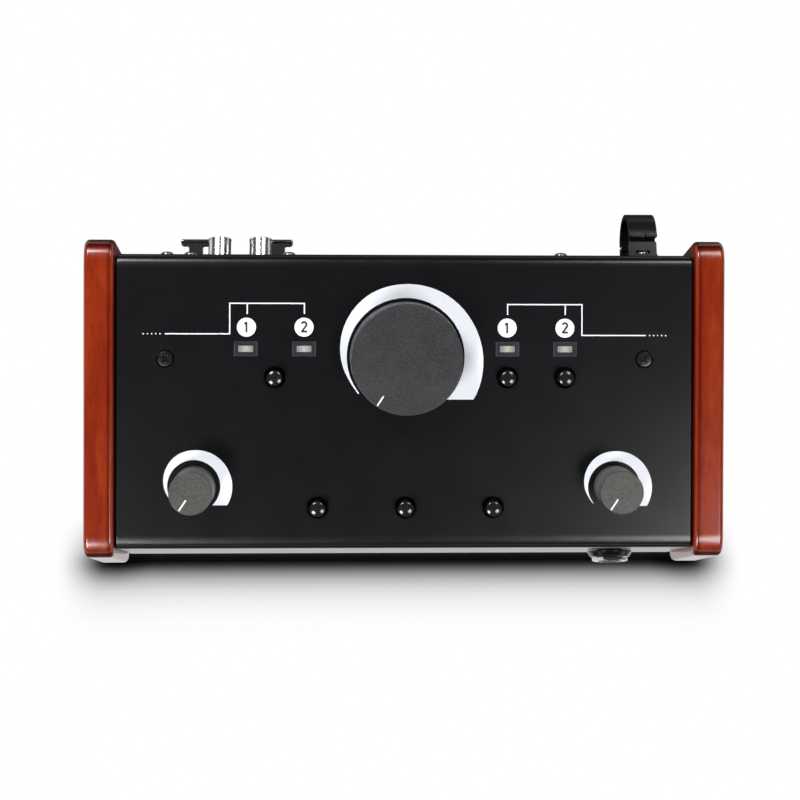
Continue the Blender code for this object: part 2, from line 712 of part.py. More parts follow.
def tab_holes(bm):
    for side in (-1, 1):
        add_cylinder(bm, SCREW_RADIUS + RUN, UNDERSIDE - TAB_THICK - OVERRUN, UNDERSIDE + OVERRUN,
                     (side * TOP_SCREW_COLUMN, TOP_SCREW_ROW), SMALL)


def socket_columns():
    return [*COMBOS.values(), *OUTPUTS]


def rear_wall_holes(bm):
    low, high = -SHEET - OVERRUN, OVERRUN
    for x in socket_columns():
        add_cylinder(bm, SOCKET_RADIUS + RUN, low, high, (-x, SOCKET_ROW))
    for x in RCAS.values():
        add_cylinder(bm, RCA_COLLAR_RADIUS + RUN, low, high, (-x, RCA_ROW), SMALL)
    add_cylinder(bm, DC_NECK + RUN, low, high, (-DC_COLUMN, DC_ROW), SMALL)
    for place in lip_screw_places() + [clamp_screw_place()]:
        add_cylinder(bm, SCREW_HOLE, low, high, place, SMALL)


# Fasteners and feet

def screw_profile(length, head=HEAD_RADIUS, height=HEAD_HEIGHT):
    """A pan-head screw: the underside of its head is at height GAP."""
    crown = GAP + height
    return [(0, crown), (head * 0.75, crown), (head, GAP + height * 0.4), (head, GAP),
            (SCREW_RADIUS, GAP), (SCREW_RADIUS, GAP - length), (0, GAP - length)]


def make_lip_screws(bench, black):
    for index, place in enumerate(lip_screw_places()):
        bench.turned("lip_screw_%d" % (index + 1), screw_profile(LIP_SCREW_LENGTH), SMALL,
                     black, frame=bench.rear, place=(*place, GAP + SHEET))


def make_panel_screws(bench, black):
    sink = GAP / 2
    profile = [(0, -sink), (SUNK_RADIUS, -sink), (SCREW_RADIUS, -sink - SUNK_DEPTH),
               (SCREW_RADIUS, -SUNK_LENGTH), (0, -SUNK_LENGTH)]
    for name, side in (("left", -1), ("right", 1)):
        place = (side * TOP_SCREW_COLUMN, TOP_SCREW_ROW, 0)
        turn = (0, 0, side * math.radians(35))
        screw = bench.turned("panel_screw_" + name, profile, SMALL, black, frame=bench.panel,
                             place=place, turn=turn)
        bench.cut(screw, cross_recess, frame=bench.panel, place=place, turn=turn)


def cross_recess(bm):
    arm, half = RECESS_ARM / 2, RECESS_WIDTH / 2
    cross = [(half, half), (half, arm), (-half, arm), (-half, half), (-arm, half),
             (-arm, -half), (-half, -half), (-half, -arm), (half, -arm), (half, -half),
             (arm, -half), (arm, half)]
    verts = [bm.verts.new((x, y, -RECESS_DEPTH)) for x, y in cross]
    floor = bm.faces.new(verts)
    grown = bmesh.ops.extrude_face_region(bm, geom=[floor])
    moved = [item for item in grown["geom"] if isinstance(item, bmesh.types.BMVert)]
    bmesh.ops.translate(bm, verts=moved, vec=(0, 0, RECESS_DEPTH + OVERRUN))
    bmesh.ops.recalc_face_normals(bm, faces=bm.faces)


def make_feet(bench, rubber):
    """Rubber feet, each pushed through its hole in the base up to a barb."""
    barb = BASE_TOP + GAP
    profile = [(0, barb + FOOT_BARB_HEIGHT), (FOOT_STEM, barb + FOOT_BARB_HEIGHT),
               (FOOT_BARB, barb), (FOOT_STEM, barb), (FOOT_STEM, FOOT_HEIGHT),
               (FOOT_RADIUS, FOOT_HEIGHT), (FOOT_RADIUS * 0.9, 0), (0, 0)]
    names = ("front_left", "rear_left", "front_right", "rear_right")
    for name, place in zip(names, foot_places()):
        bench.turned("foot_" + name, profile, SMALL, rubber, place=(*place, 0))


# Boards and what joins them

def make_boards(bench, board, grey):
    middle = (CONTROL_FRONT + CONTROL_REAR) / 2
    half = (CONTROL_REAR - CONTROL_FRONT) / 2
    outline = [(-CONTROL_HALF, -half), (CONTROL_HALF, -half), (CONTROL_HALF, half),
               (-CONTROL_HALF, half)]
    holes = [circle(PEG_RADIUS + RUN, (x, y - middle)) for x, y in post_places()]
    bench.plate("control_board", outline, BOARD, board, holes=holes, frame=bench.panel,
                place=(0, middle, BOARD_TOP - BOARD / 2))

    front, rear = FRONT_Y + MAIN_FRONT, WALL_Y - MAIN_REAR
    outline = [(-MAIN_HALF, front), (MAIN_HALF, front), (MAIN_HALF, rear), (-MAIN_HALF, rear)]
    holes = [circle(PEG_RADIUS + RUN, place) for place in standoff_places()]
    level = BASE_TOP + MAIN_RISE
    bench.plate("main_board", outline, BOARD, board, holes=holes,
                place=(0, 0, level + BOARD / 2))

    top = Vector(on_panel(RIBBON_ROW, BOARD_TOP - BOARD - GAP))
    foot = Vector((top.x - RIBBON_SWAY / 2, level + BOARD + GAP))
    third = (top.y - foot.y) / 3
    path = [foot, (foot.x, foot.y + third), (foot.x + RIBBON_SWAY, foot.y + 2 * third), top]
    path = rounded(path, RIBBON_BEND, steps=3, closed=False)
    bench.folded("ribbon_cable", path, RIBBON_WIDTH, RIBBON_THICK, grey)


# Knobs, potentiometers, buttons and lamps

def make_knobs(bench, plastic, steel, zinc):
    for name, (x, row, can, radius, top, height, wall, steps) in KNOBS.items():
        place = (x, row, 0)
        make_pot(bench, name, can, place, steel)
        shaft_top = height - BORE_ROOF
        floor = BOARD_TOP + HUB_WALL
        shaft = [(0, shaft_top), (SHAFT_RADIUS, shaft_top), (SHAFT_RADIUS, floor), (0, floor)]
        bench.turned(name + "_shaft", shaft, SMALL, zinc, frame=bench.panel, place=place)
        bore = SHAFT_RADIUS + GAP
        hub = bore + HUB_WALL
        hub_foot = BUSHING_REACH + 2 * GAP
        ceiling = height - KNOB_ROOF
        profile = [(0, height), (top - KNOB_ROUND, height), (top, height - KNOB_ROUND),
                   (radius, KNOB_LIFT), (radius - wall, KNOB_LIFT), (radius - wall, ceiling),
                   (hub, ceiling), (hub, hub_foot), (bore, hub_foot),
                   (bore, shaft_top + GAP), (0, shaft_top + GAP)]
        bench.turned(name + "_knob", profile, steps, plastic, frame=bench.panel, place=place)


def make_pot(bench, name, can, place, steel):
    """Its can is under the top, and its nut, drawn tight, is joined to it."""
    floor = BOARD_TOP + GAP
    bore = SHAFT_RADIUS + GAP
    well = BOARD_TOP + HUB_WALL - GAP
    nut = GAP + NUT_THICK
    profile = [(bore, BUSHING_REACH), (BUSHING_RADIUS, BUSHING_REACH), (BUSHING_RADIUS, nut),
               (NUT_RADIUS, nut), (NUT_RADIUS, GAP), (BUSHING_RADIUS, GAP),
               (BUSHING_RADIUS, UNDERSIDE), (can, UNDERSIDE), (can, floor), (0, floor),
               (0, well), (bore, well)]
    pot = bench.turned(name + "_pot", profile, ROUND, steel, frame=bench.panel, place=place,
                       ring=True)
    half = TERMINAL_WIDTH / 2
    block = bench.solid(name + "_terminals", lambda bm: add_box(
        bm, (-half, -can - TERMINAL_REACH, floor), (half, -can / 2, floor / 2)),
        frame=bench.panel, place=place)
    bench.combine(pot, block, "UNION")


def make_buttons(bench, plastic, dark):
    for name, (x, row) in BUTTONS.items():
        place = (x, row, 0)
        seat = BOARD_TOP + GAP
        switch_top = seat + SWITCH_HEIGHT
        foot = switch_top + CAP_TRAVEL + GAP
        top = CAP_HEIGHT
        profile = [(0, top), (CAP_RADIUS - CAP_ROUND, top),
                   (CAP_RADIUS - CAP_ROUND * 0.3, top - CAP_ROUND * 0.3),
                   (CAP_RADIUS, top - CAP_ROUND), (CAP_RADIUS, foot), (STEM_RADIUS, foot),
                   (STEM_RADIUS, foot - STEM_LENGTH), (0, foot - STEM_LENGTH)]
        bench.turned(name + "_button", profile, SMALL, plastic, frame=bench.panel, place=place)
        half = SWITCH_WIDTH / 2
        outline = [(-half, -half), (half, -half), (half, half), (-half, half)]
        bench.plate(name + "_switch", outline, SWITCH_HEIGHT, dark,
                    holes=[circle(STEM_RADIUS + GAP, steps=SMALL)], frame=bench.panel,
                    place=(x, row, seat + SWITCH_HEIGHT / 2))


def rectangle(width, depth):
    return [(-width / 2, -depth / 2), (width / 2, -depth / 2), (width / 2, depth / 2),
            (-width / 2, depth / 2)]


def make_lamps(bench, dark):
    height = BOARD_DROP - GAP
    half = Vector((LENS_WIDTH / 2, LENS_DEPTH / 2, 0))
    for index, x in enumerate(LAMP_COLUMNS):
        place = (x, LAMP_ROW, -height / 2)
        lamp = bench.plate("lamp_%d" % (index + 1), rectangle(LAMP_WIDTH, LAMP_DEPTH), height,
                           dark, frame=bench.panel, place=place)
        bench.cut(lamp, lambda bm: add_box(bm, (-half.x, -half.y, -LENS_SINK),
                                           (half.x, half.y, OVERRUN)),
                  frame=bench.panel, place=(x, LAMP_ROW, 0))


# Rear sockets

def flange(bench, name, x, material):
    outline = rounded(rectangle(FLANGE_WIDTH, FLANGE_HEIGHT), FLANGE_CORNER, steps=3)
    holes = [circle(FLANGE_HOLE, place) for place in
             ((-FLANGE_HOLE_X, FLANGE_HOLE_Y), (FLANGE_HOLE_X, -FLANGE_HOLE_Y))]
    return bench.plate(name, outline, FLANGE_THICK, material, holes=holes, frame=bench.rear,
                       place=(-x, SOCKET_ROW, GAP + FLANGE_THICK / 2))


def barrel(bench, socket, x):
    """The socket's round body, joined to its flange."""
    body = bench.solid(socket.name + "_body", lambda bm: add_cylinder(
        bm, SOCKET_RADIUS, -SOCKET_DEPTH, GAP + FLANGE_THICK / 2), frame=bench.rear,
        place=(-x, SOCKET_ROW, 0))
    bench.combine(socket, body, "UNION")


def around(radius, count, start=0.0):
    step = 2 * math.pi / count
    return [(radius * math.cos(start + step * index), radius * math.sin(start + step * index))
            for index in range(count)]


def make_combos(bench, black, chrome):
    face = GAP + FLANGE_THICK
    groove = [(GROOVE_INNER, face + OVERRUN), (GROOVE_OUTER, face + OVERRUN),
              (GROOVE_OUTER, face - GROOVE_DEPTH), (GROOVE_INNER, face - GROOVE_DEPTH)]
    for side, x in COMBOS.items():
        place = (-x, SOCKET_ROW, 0)
        socket = flange(bench, "combo_socket_" + side, x, black)
        barrel(bench, socket, x)
        ring = bench.turned(socket.name + "_groove", groove, ROUND, frame=bench.rear,
                            place=place, ring=True)
        bench.combine(socket, ring)
        bench.cut(socket, combo_holes, frame=bench.rear, place=place)
        make_latch(bench, side, x, chrome)


def combo_holes(bm):
    face = GAP + FLANGE_THICK
    add_cylinder(bm, COMBO_BORE, face - JACK_BORE_DEPTH, face + OVERRUN, steps=SMALL)
    for place in around(CONTACT_CIRCLE, 3, -math.pi / 2):
        add_cylinder(bm, CONTACT_RADIUS, face - CONTACT_DEPTH, face + OVERRUN, place, TINY)
    half = LATCH_NECK / 2 + RUN
    slot = LATCH_THICK / 2 + RUN
    add_box(bm, (-half, LATCH_ROW - slot, face - LATCH_ROOT - RUN),
            (half, LATCH_ROW + slot, face + OVERRUN))


def make_latch(bench, side, x, chrome):
    """A T-shaped tab, hinged where it leaves the flange's slot."""
    neck, head = LATCH_NECK / 2, LATCH_HEAD / 2
    shoulder = LATCH_REACH - LATCH_HEAD_DEPTH
    outline = [(-neck, -LATCH_ROOT), (neck, -LATCH_ROOT), (neck, shoulder)]
    outline += rounded([(neck, shoulder), (head, shoulder), (head, LATCH_REACH),
                        (-head, LATCH_REACH), (-head, shoulder), (-neck, shoulder)],
                       LATCH_ROUND, steps=2, closed=False)[1:]
    bench.plate("latch_" + side, outline, LATCH_THICK, chrome,
                place=(x, WALL_Y + GAP + FLANGE_THICK, SOCKET_ROW + LATCH_ROW))


def make_outputs(bench, black):
    floor = GAP + FLANGE_THICK - CUP_DEPTH
    for index, x in enumerate(OUTPUTS):
        place = (-x, SOCKET_ROW, 0)
        socket = flange(bench, "output_socket_%d" % (index + 1), x, black)
        barrel(bench, socket, x)
        bench.cut(socket, lambda bm: add_cylinder(
            bm, CUP_RADIUS, floor, GAP + FLANGE_THICK + OVERRUN), frame=bench.rear, place=place)
        bench.add(socket, lambda bm: [add_cylinder(
            bm, PIN_RADIUS, floor - OVERRUN, floor + PIN_LENGTH, spot, TINY)
            for spot in around(PIN_CIRCLE, 3, math.pi / 2)], frame=bench.rear, place=place)


def make_rcas(bench, black, chrome):
    outer = RCA_SHELL_RADIUS
    inner = outer - RCA_SHELL_WALL
    foot = RCA_COLLAR + GAP
    face = RCA_REACH - RCA_CORE_SINK
    block_top = -SHEET - GAP
    half_width = RCA_PITCH / 2 + RCA_COLLAR_RADIUS + HUB_WALL
    half_height = RCA_BLOCK_HEIGHT / 2
    middle = (-RCA_MIDDLE, RCA_ROW, 0)
    block = bench.solid("rca_block", lambda bm: add_box(
        bm, (-half_width, -half_height, block_top - RCA_BLOCK_DEPTH),
        (half_width, half_height, block_top)), black, frame=bench.rear, place=middle)
    for x in (-RCA_PITCH / 2, RCA_PITCH / 2):
        bench.add(block, lambda bm: add_cylinder(
            bm, RCA_COLLAR_RADIUS, block_top - RCA_BLOCK_DEPTH / 2, RCA_COLLAR, (x, 0), ROUND),
            frame=bench.rear, place=middle)
        bench.add(block, lambda bm: add_cylinder(
            bm, inner - GAP, block_top, face, (x, 0), ROUND), frame=bench.rear, place=middle)
        bench.cut(block, lambda bm: add_cylinder(
            bm, RCA_HOLE, face - RCA_HOLE_DEPTH, face + OVERRUN, (x, 0), SMALL),
            frame=bench.rear, place=middle)
    shell = [(inner, RCA_REACH), (outer, RCA_REACH), (outer, foot), (inner, foot)]
    for side, x in RCAS.items():
        bench.turned("rca_shell_" + side, shell, ROUND, chrome, ring=True, frame=bench.rear,
                     place=(-x, RCA_ROW, 0))


def make_dc_inlet(bench, black):
    inside = -SHEET - GAP
    half_width, half_height = DC_WIDTH / 2, DC_HEIGHT / 2
    place = (-DC_COLUMN, DC_ROW, 0)
    inlet = bench.solid("dc_inlet", lambda bm: add_box(
        bm, (-half_width, -half_height, inside - DC_DEPTH), (half_width, half_height, inside)),
        black, frame=bench.rear, place=place)
    neck = bench.solid("dc_neck", lambda bm: add_cylinder(
        bm, DC_NECK, inside - DC_DEPTH / 2, DC_REACH, steps=SMALL), frame=bench.rear,
        place=place)
    bench.combine(inlet, neck, "UNION")
    bore = [(DC_PIN, DC_REACH + OVERRUN), (DC_BORE, DC_REACH + OVERRUN),
            (DC_BORE, DC_REACH - DC_BORE_DEPTH), (DC_PIN, DC_REACH - DC_BORE_DEPTH)]
    ring = bench.turned("dc_bore", bore, SMALL, ring=True, frame=bench.rear, place=place)
    bench.combine(inlet, ring)


# Cable clamp

def clamp_screw_place():
    return (-CLAMP_COLUMN, CLAMP_ROW + CLAMP_OUTER - CLAMP_SCREW_RADIUS)


def make_clamp(bench, black, chrome):
    ring = (CLAMP_STANDOFF, 0)
    shoulder = CLAMP_INNER * math.sin(CLAMP_SPLIT) + CLAMP_RIM
    foot = GAP + CLAMP_FOOT
    low = -CLAMP_OUTER
    outline = [(GAP, low), (CLAMP_STANDOFF, low)]
    outline += arc(CLAMP_INNER, math.radians(270), CLAMP_SPLIT, 10, ring)
    outline += [(outline[-1][0], shoulder), (foot, shoulder), (foot, CLAMP_OUTER),
                (GAP, CLAMP_OUTER)]
    base = bench.plate("clamp_base", outline, CLAMP_WIDTH, black, turn=SIDEWAYS,
                       place=(CLAMP_COLUMN, WALL_Y, CLAMP_ROW))
    bench.cut(base, clamp_screw_hole, frame=bench.rear, place=(*clamp_screw_place(), 0))

    slack = 2 * GAP / (CLAMP_INNER + CLAMP_OUTER)
    start = -math.pi / 2 + 2 * slack
    end = CLAMP_SPLIT - 2 * slack
    hook = end - CLAMP_HOOK_ANGLE
    pivot = (0, CLAMP_OUTER + GAP)
    outline = arc(CLAMP_OUTER, start, hook, 10, pivot)
    outline += arc(CLAMP_OUTER + CLAMP_HOOK, hook, end, 2, pivot)
    outline += arc(CLAMP_INNER, end, start, 10, pivot)
    bench.plate("clamp_strap", outline, CLAMP_WIDTH, black, turn=SIDEWAYS,
                place=(CLAMP_COLUMN, WALL_Y + CLAMP_STANDOFF, CLAMP_ROW - CLAMP_OUTER - GAP))
    profile = screw_profile(CLAMP_FOOT + SHEET + 2 * GAP + RUN, CLAMP_SCREW_RADIUS)
    bench.turned("clamp_screw", profile, SMALL, chrome, frame=bench.rear,
                 place=(*clamp_screw_place(), GAP + CLAMP_FOOT))


def clamp_screw_hole(bm):
    """Round the screw's shank, and a notch for its head in the base's shoulder."""
    seat = GAP + CLAMP_FOOT
    notch = CLAMP_SCREW_RADIUS + RUN
    top = seat + HEAD_HEIGHT + GAP + RUN
    add_stepped(bm, [(0, top), (notch, top), (notch, seat), (SCREW_HOLE, seat),
                     (SCREW_HOLE, -OVERRUN), (0, -OVERRUN)], (0, 0), SMALL)


# Headphone jack

def make_phones_jack(bench, black, chrome):
    place = (PHONES_COLUMN, PHONES_ROW, 0)
    inside = -SHEET - GAP
    half_width, half_height = PHONES_BODY_WIDTH / 2, PHONES_BODY_HEIGHT / 2
    jack = bench.solid("phones_jack", lambda bm: add_box(
        bm, (-half_width, -half_height, inside - PHONES_BODY_DEPTH),
        (half_width, half_height, inside)), black, frame=bench.front, place=place)
    bushing = bench.solid("phones_bushing", lambda bm: add_cylinder(
        bm, PHONES_BUSHING, inside - PHONES_BODY_DEPTH / 2, PHONES_REACH, steps=SMALL),
        frame=bench.front, place=place)
    bench.combine(jack, bushing, "UNION")
    bench.cut(jack, lambda bm: add_cylinder(
        bm, PHONES_BORE, PHONES_REACH - JACK_BORE_DEPTH, PHONES_REACH + OVERRUN, steps=SMALL),
        frame=bench.front, place=place)
    bore = PHONES_BUSHING + GAP
    outer = PHONES_BEZEL_RADIUS
    top = GAP + PHONES_BEZEL
    bezel = [(bore, top), (outer * 0.86, top), (outer, GAP), (bore, GAP)]
    bench.turned("jack_bezel", bezel, ROUND, black, ring=True, frame=bench.front, place=place)
    bench.plate("jack_nut", circle(PHONES_NUT_RADIUS, steps=6), PHONES_NUT, chrome,
                holes=[circle(bore, steps=SMALL)], frame=bench.front,
                place=(PHONES_COLUMN, PHONES_ROW, top + GAP + PHONES_NUT / 2))


def main():
    clear_scene()
    bench = Bench()
    wood = new_material("lacquered_wood", (0.36, 0.045, 0.018), 0.3)
    steel = new_material("black_steel", (0.018, 0.018, 0.02), 0.4)
    bare_steel = new_material("bare_steel", (0.45, 0.45, 0.46), 0.4, 1.0)
    zinc = new_material("zinc", (0.6, 0.6, 0.6), 0.35, 1.0)
    black = new_material("black_plastic", (0.02, 0.02, 0.02), 0.35)
    knob = new_material("knob_plastic", (0.07, 0.07, 0.07), 0.6)
    rubber = new_material("rubber", (0.02, 0.02, 0.02), 0.8)
    chrome = new_material("chrome", (0.8, 0.8, 0.8), 0.1, 1.0)
    board = new_material("board", (0.02, 0.14, 0.05), 0.5)
    grey = new_material("grey_cable", (0.4, 0.4, 0.42), 0.6)
    make_cheeks(bench, wood)
    make_cover(bench, steel)
    make_chassis(bench, steel)
    make_lip_screws(bench, black)
    make_panel_screws(bench, black)
    make_feet(bench, rubber)
    make_boards(bench, board, grey)
    make_knobs(bench, knob, bare_steel, zinc)
    make_buttons(bench, black, black)
    make_lamps(bench, black)
    make_combos(bench, black, chrome)
    make_outputs(bench, black)
    make_rcas(bench, black, chrome)
    make_dc_inlet(bench, black)
    make_clamp(bench, black, chrome)
    make_phones_jack(bench, black, chrome)


main()
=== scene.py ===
"""Looks of the studio monitor controller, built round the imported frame.

Metres, +Z up, the front towards -Y. Pieces on the sloping top are built in the panel's frame:
x to the right, y up the slope from the front corner, z out of the panel. Pieces on the rear
wall are built in the wall's frame: x towards -X, y up, z outwards.
"""
from math import asin, atan2, copysign, cos, degrees, pi, radians, sin, tan

import bmesh
import bpy
from mathutils import Matrix, Vector


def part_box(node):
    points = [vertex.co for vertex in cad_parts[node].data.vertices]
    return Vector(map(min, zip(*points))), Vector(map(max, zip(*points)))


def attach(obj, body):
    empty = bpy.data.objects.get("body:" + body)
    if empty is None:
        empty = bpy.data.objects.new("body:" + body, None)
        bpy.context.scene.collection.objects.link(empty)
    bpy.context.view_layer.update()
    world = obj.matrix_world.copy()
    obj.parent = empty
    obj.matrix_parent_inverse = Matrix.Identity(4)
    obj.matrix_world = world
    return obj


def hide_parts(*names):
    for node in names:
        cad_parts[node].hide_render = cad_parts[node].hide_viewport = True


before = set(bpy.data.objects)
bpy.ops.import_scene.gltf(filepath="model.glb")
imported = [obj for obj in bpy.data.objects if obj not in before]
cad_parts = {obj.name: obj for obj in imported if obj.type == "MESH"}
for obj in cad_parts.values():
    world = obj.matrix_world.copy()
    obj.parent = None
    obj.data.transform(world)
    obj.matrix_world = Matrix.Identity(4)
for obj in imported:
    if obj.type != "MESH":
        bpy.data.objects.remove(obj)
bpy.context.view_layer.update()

MM = 0.001
MERGE = 0.000001

# Casing, in the same sizes as the CAD part
CASE_WIDTH = 0.225
CHEEK_THICK = 0.0105
CHEEK_PROUD = 0.0029
CHEEK_FRONT = 0.0022
CHEEK_REAR = 0.0062
CHEEK_LIFT = 0.0025
CHEEK_CORNER = 0.0056
CHEEK_LEAD = 0.018
CHEEK_LEAD_TURN = radians(15)
CHEEK_FOOT_CORNER = 0.0040
CHEEK_LEAN = 0.0007
CHEEK_ARRIS = 0.0017
SLOPE = radians(14.5)
PANEL_LENGTH = 0.1032
FRONT_HEIGHT = 0.0440
SHEET = 0.0012
GAP = 0.0003
RUN = 0.0004
BEND = 0.0031
BEND_LEAD = 0.014
BEND_LEAD_TURN = radians(11)
COVER_HEM = 0.0042
LIP = 0.0100
COVER_ARRIS = 0.0008
COVER_LEAN = 0.0005
COVER_OVERHANG = 0.0004
INNER_HALF = CASE_WIDTH / 2 - CHEEK_THICK
TRAY_HALF = INNER_HALF - GAP
PANEL_RISE = PANEL_LENGTH * sin(SLOPE)
PANEL_RUN = PANEL_LENGTH * cos(SLOPE)
FRONT_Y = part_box("top_cover")[0].y
REAR_Y = FRONT_Y + PANEL_RUN
WALL_Y = REAR_Y - SHEET - GAP
REAR_HEIGHT = FRONT_HEIGHT + PANEL_RISE
SCREW_RADIUS = 0.0015
SCREW_HOLE = SCREW_RADIUS + RUN

# Knobs: column, row, foot radius, top radius, height, wall, pointer's inner and outer end
KNOB_LIFT = 0.0006
SHAFT_BORE = 0.0033
HUB_RADIUS = 0.0045
HUB_FOOT = 0.0036
KNOB_ROOF = 0.0025
BORE_ROOF = 0.0037
KNOB_SIZES = {
    "volume": (0, 0.0665, 0.0198, 0.0192, 0.0140, 0.0018, 0.0149, 0.0192),
    "aux": (-0.0740, 0.0210, 0.0075, 0.0075, 0.0158, 0.0011, 0.0027, 0.0075),
    "headphone": (0.0740, 0.0210, 0.0075, 0.0075, 0.0158, 0.0011, 0.0027, 0.0075),
}
KNOB_ROUND = 0.00045
POINTER_ANGLE = radians(236.7)
POINTER_WIDTH = 0.00055
POINTER_SINK = 0.0002
POINTER_PROUD = 0.00003
BUSHING_HOLE = 0.0040

# Push buttons, lamps and screws in the top
INNER_COLUMN = 0.0358
OUTER_COLUMN = 0.0562
LOWER_PITCH = 0.0309
UPPER_ROW = 0.0595
LOWER_ROW = 0.0137
BUTTONS = {
    "input_select": (-(INNER_COLUMN + OUTER_COLUMN) / 2, UPPER_ROW),
    "output_1": (INNER_COLUMN, UPPER_ROW),
    "output_2": (OUTER_COLUMN, UPPER_ROW),
    "mono": (-LOWER_PITCH, LOWER_ROW),
    "mute": (0, LOWER_ROW),
    "listen": (LOWER_PITCH, LOWER_ROW),
}
CAP_RADIUS = 0.0027
CAP_HEIGHT = 0.0046
CAP_FOOT = -0.0034
CAP_ROUND = 0.00045
CAP_DOME = 0.0060
CAP_HOLE_RADIUS = 0.0038
STEM_RADIUS = 0.0014
STEM_LENGTH = 0.0055
HOLE_CHAMFER = 0.00012
LAMP_COLUMNS = (-OUTER_COLUMN, -INNER_COLUMN, INNER_COLUMN, OUTER_COLUMN)
LAMP_ROW = 0.0695
LAMP_WIDTH = 0.0078
LAMP_DEPTH = 0.0049
LENS_WIDTH = 0.0053
LENS_DEPTH = 0.0023
LENS_SINK = 0.0003
LENS_PLAY = 0.0001
LENS_CORNER = 0.0002
LENS_ARRIS = 0.00008
LAMP_RIM = 0.0002
RIM_HIGH = 0.00012
RIM_ARRIS = 0.00004
TOP_SCREW_COLUMN = 0.0844
TOP_SCREW_ROW = 0.0660
SUNK_RADIUS = 0.0029
SUNK_DEPTH = 0.0016
SUNK_LENGTH = 0.0062
SUNK_ROUND = 0.00018
SUNK_RECESS = (0.0036, 0.0007, 0.0009)
SUNK_TURN = radians(35)

# Rear wall
LIP_SCREW_DROP = 0.0056
LIP_SCREWS_SHARE = (-0.826, -0.745, -0.405, 0.542)
LIP_SCREW_LENGTH = 0.0060
HEAD_RADIUS = 0.0023
HEAD_HEIGHT = 0.0011
HEAD_ROUND = 0.75
RECESS_SHARES = (1.25, 0.26, 0.6)
RECESS_TAPER = 0.62
LIP_SCREW_TURN = radians(25)
LIP_SCREW_TWIST = radians(31)
FLANGE_WIDTH = 0.0260
FLANGE_HEIGHT = 0.0310
FLANGE_THICK = 0.0026
FLANGE_CORNER = 0.0030
FLANGE_HOLE_INSET = 0.0035
FLANGE_ARRIS = 0.0004
FLANGE_SCREW = dict(length=0.004, head=0.0027, height=0.0015, shank=0.0014)
FLANGE_SCREW_TURN = radians(20)
FLANGE_SCREW_TWIST = radians(50)
SOCKET_ROW = REAR_HEIGHT - 0.0368
SOCKET_RADIUS = 0.0117
SOCKET_DEPTH = 0.0220
GROOVE = (0.0079, 0.0096)
GROOVE_DEPTH = 0.0110
COMBO_BORE = (0.0034, 0.0004, 0.020)
CONTACT_HOLE = (0.0012, 0.0002, 0.009, 24)
CONTACT_CIRCLE = 0.0057
CUP_RADIUS = 0.0096
CUP_DEPTH = 0.0130
CUP_CHAMFER = 0.0003
CUP_FLARE = 0.0013
KEY_HALF = 0.0011
KEY_ROWS = (-0.0098, -0.0086)
PIN_CIRCLE = 0.0042
PIN_RADIUS = 0.0012
PIN_ROUND = 0.0008
PIN_LENGTH = 0.0112
COMBOS = {"left": -0.0758268, "right": -0.0459714}
OUTPUTS = (-0.0145044, 0.012291, 0.0390864, 0.0658818)
LATCH_ROW = 0.0128
LATCH_REACH = 0.0094
LATCH_RAKE = 0.20
LATCH_LIP = 0.0008
LATCH_ROOT = 0.0016
LATCH_THICK = 0.0012
LATCH_NECK = 0.0052
LATCH_HEAD = 0.0109
LATCH_HEAD_DEPTH = 0.0026
LATCH_CORNER = 0.0012
LATCH_CROOK = 0.0006
LATCH_ARRIS = 0.0004
LATCH_LIP_RISE = 0.0002
RCAS = {"left": -0.0665708, "right": -0.0518308}
RCA_ROW = REAR_HEIGHT - 0.0150
RCA_RADIUS = 0.00415
RCA_WALL = 0.0004
RCA_REACH = 0.0104
RCA_COLLAR = 0.0018
RCA_CORE_SINK = 0.0010
RCA_HOLE = 0.0016
RCA_WAIST = 0.0001
RCA_BEAD = 0.0007
RCA_ROUND = 0.0002
CORE_SKIN = 0.00008
CORE_PLAY = 0.00012
CORE_DEPTH = 0.0060
DC_COLUMN = 0.0900
DC_ROW = 0.0250
DC_PIN = [(0, -0.0008), (0.00055, -0.0012), (0.00098, -0.0018), (0.00098, -0.0092), (0, -0.0092)]
DC_MOUTH = [(0.00285, 0.0005), (0.0040, 0.0005), (0.0040, 0.0008), (0.00285, 0.0008)]

# Cable clamp on the rear wall
CLAMP_COLUMN = 0.08619
CLAMP_ROW = REAR_HEIGHT - 0.0208
CLAMP_WIDTH = 0.0102
CLAMP_STANDOFF = 0.0114
CLAMP_OUTER = 0.0102
CLAMP_INNER = 0.0084
CLAMP_RIM = 0.0005
CLAMP_FOOT = 0.0040
CLAMP_HOOK = 0.0012
CLAMP_SPLIT = radians(104)
CLAMP_MOUTH = radians(6)
CLAMP_HINGE = radians(270)
CLAMP_SCREW_TURN = radians(40)
CLAMP_ARRIS = 0.0003
TONGUE_START = radians(1.5)
TONGUE_END = radians(10)
TONGUE_REACH = radians(14)
TONGUE_THICK = 0.0014
TONGUE_INSET = 0.0004
LUG_SPAN = radians(10)
LUG_RAMP = radians(3)
LUG_SLIT = 0.0009
LUG_INSET = 0.0002
CLAMP_SCREW_RADIUS = 0.0022

# Headphone jack
PHONES_COLUMN = 0.0763
PHONES_ROW = 0.0200
PHONES_BUSHING = 0.0045
PHONES_BORE = 0.0034
PHONES_REACH = 0.0042
BEZEL_RADIUS = 0.0081
BEZEL_THICK = 0.0021
BEZEL_CROWN = 0.86
BEZEL_EDGE = 0.0004
NUT_RADIUS = 0.0066
NUT_THICK = 0.0012
NUT_CHAMFER = 0.0011
FERRULE_WALL = 0.0004
FERRULE_SINK = 0.0003
PHONES_BODY = (0.0150, 0.0130, 0.0230)

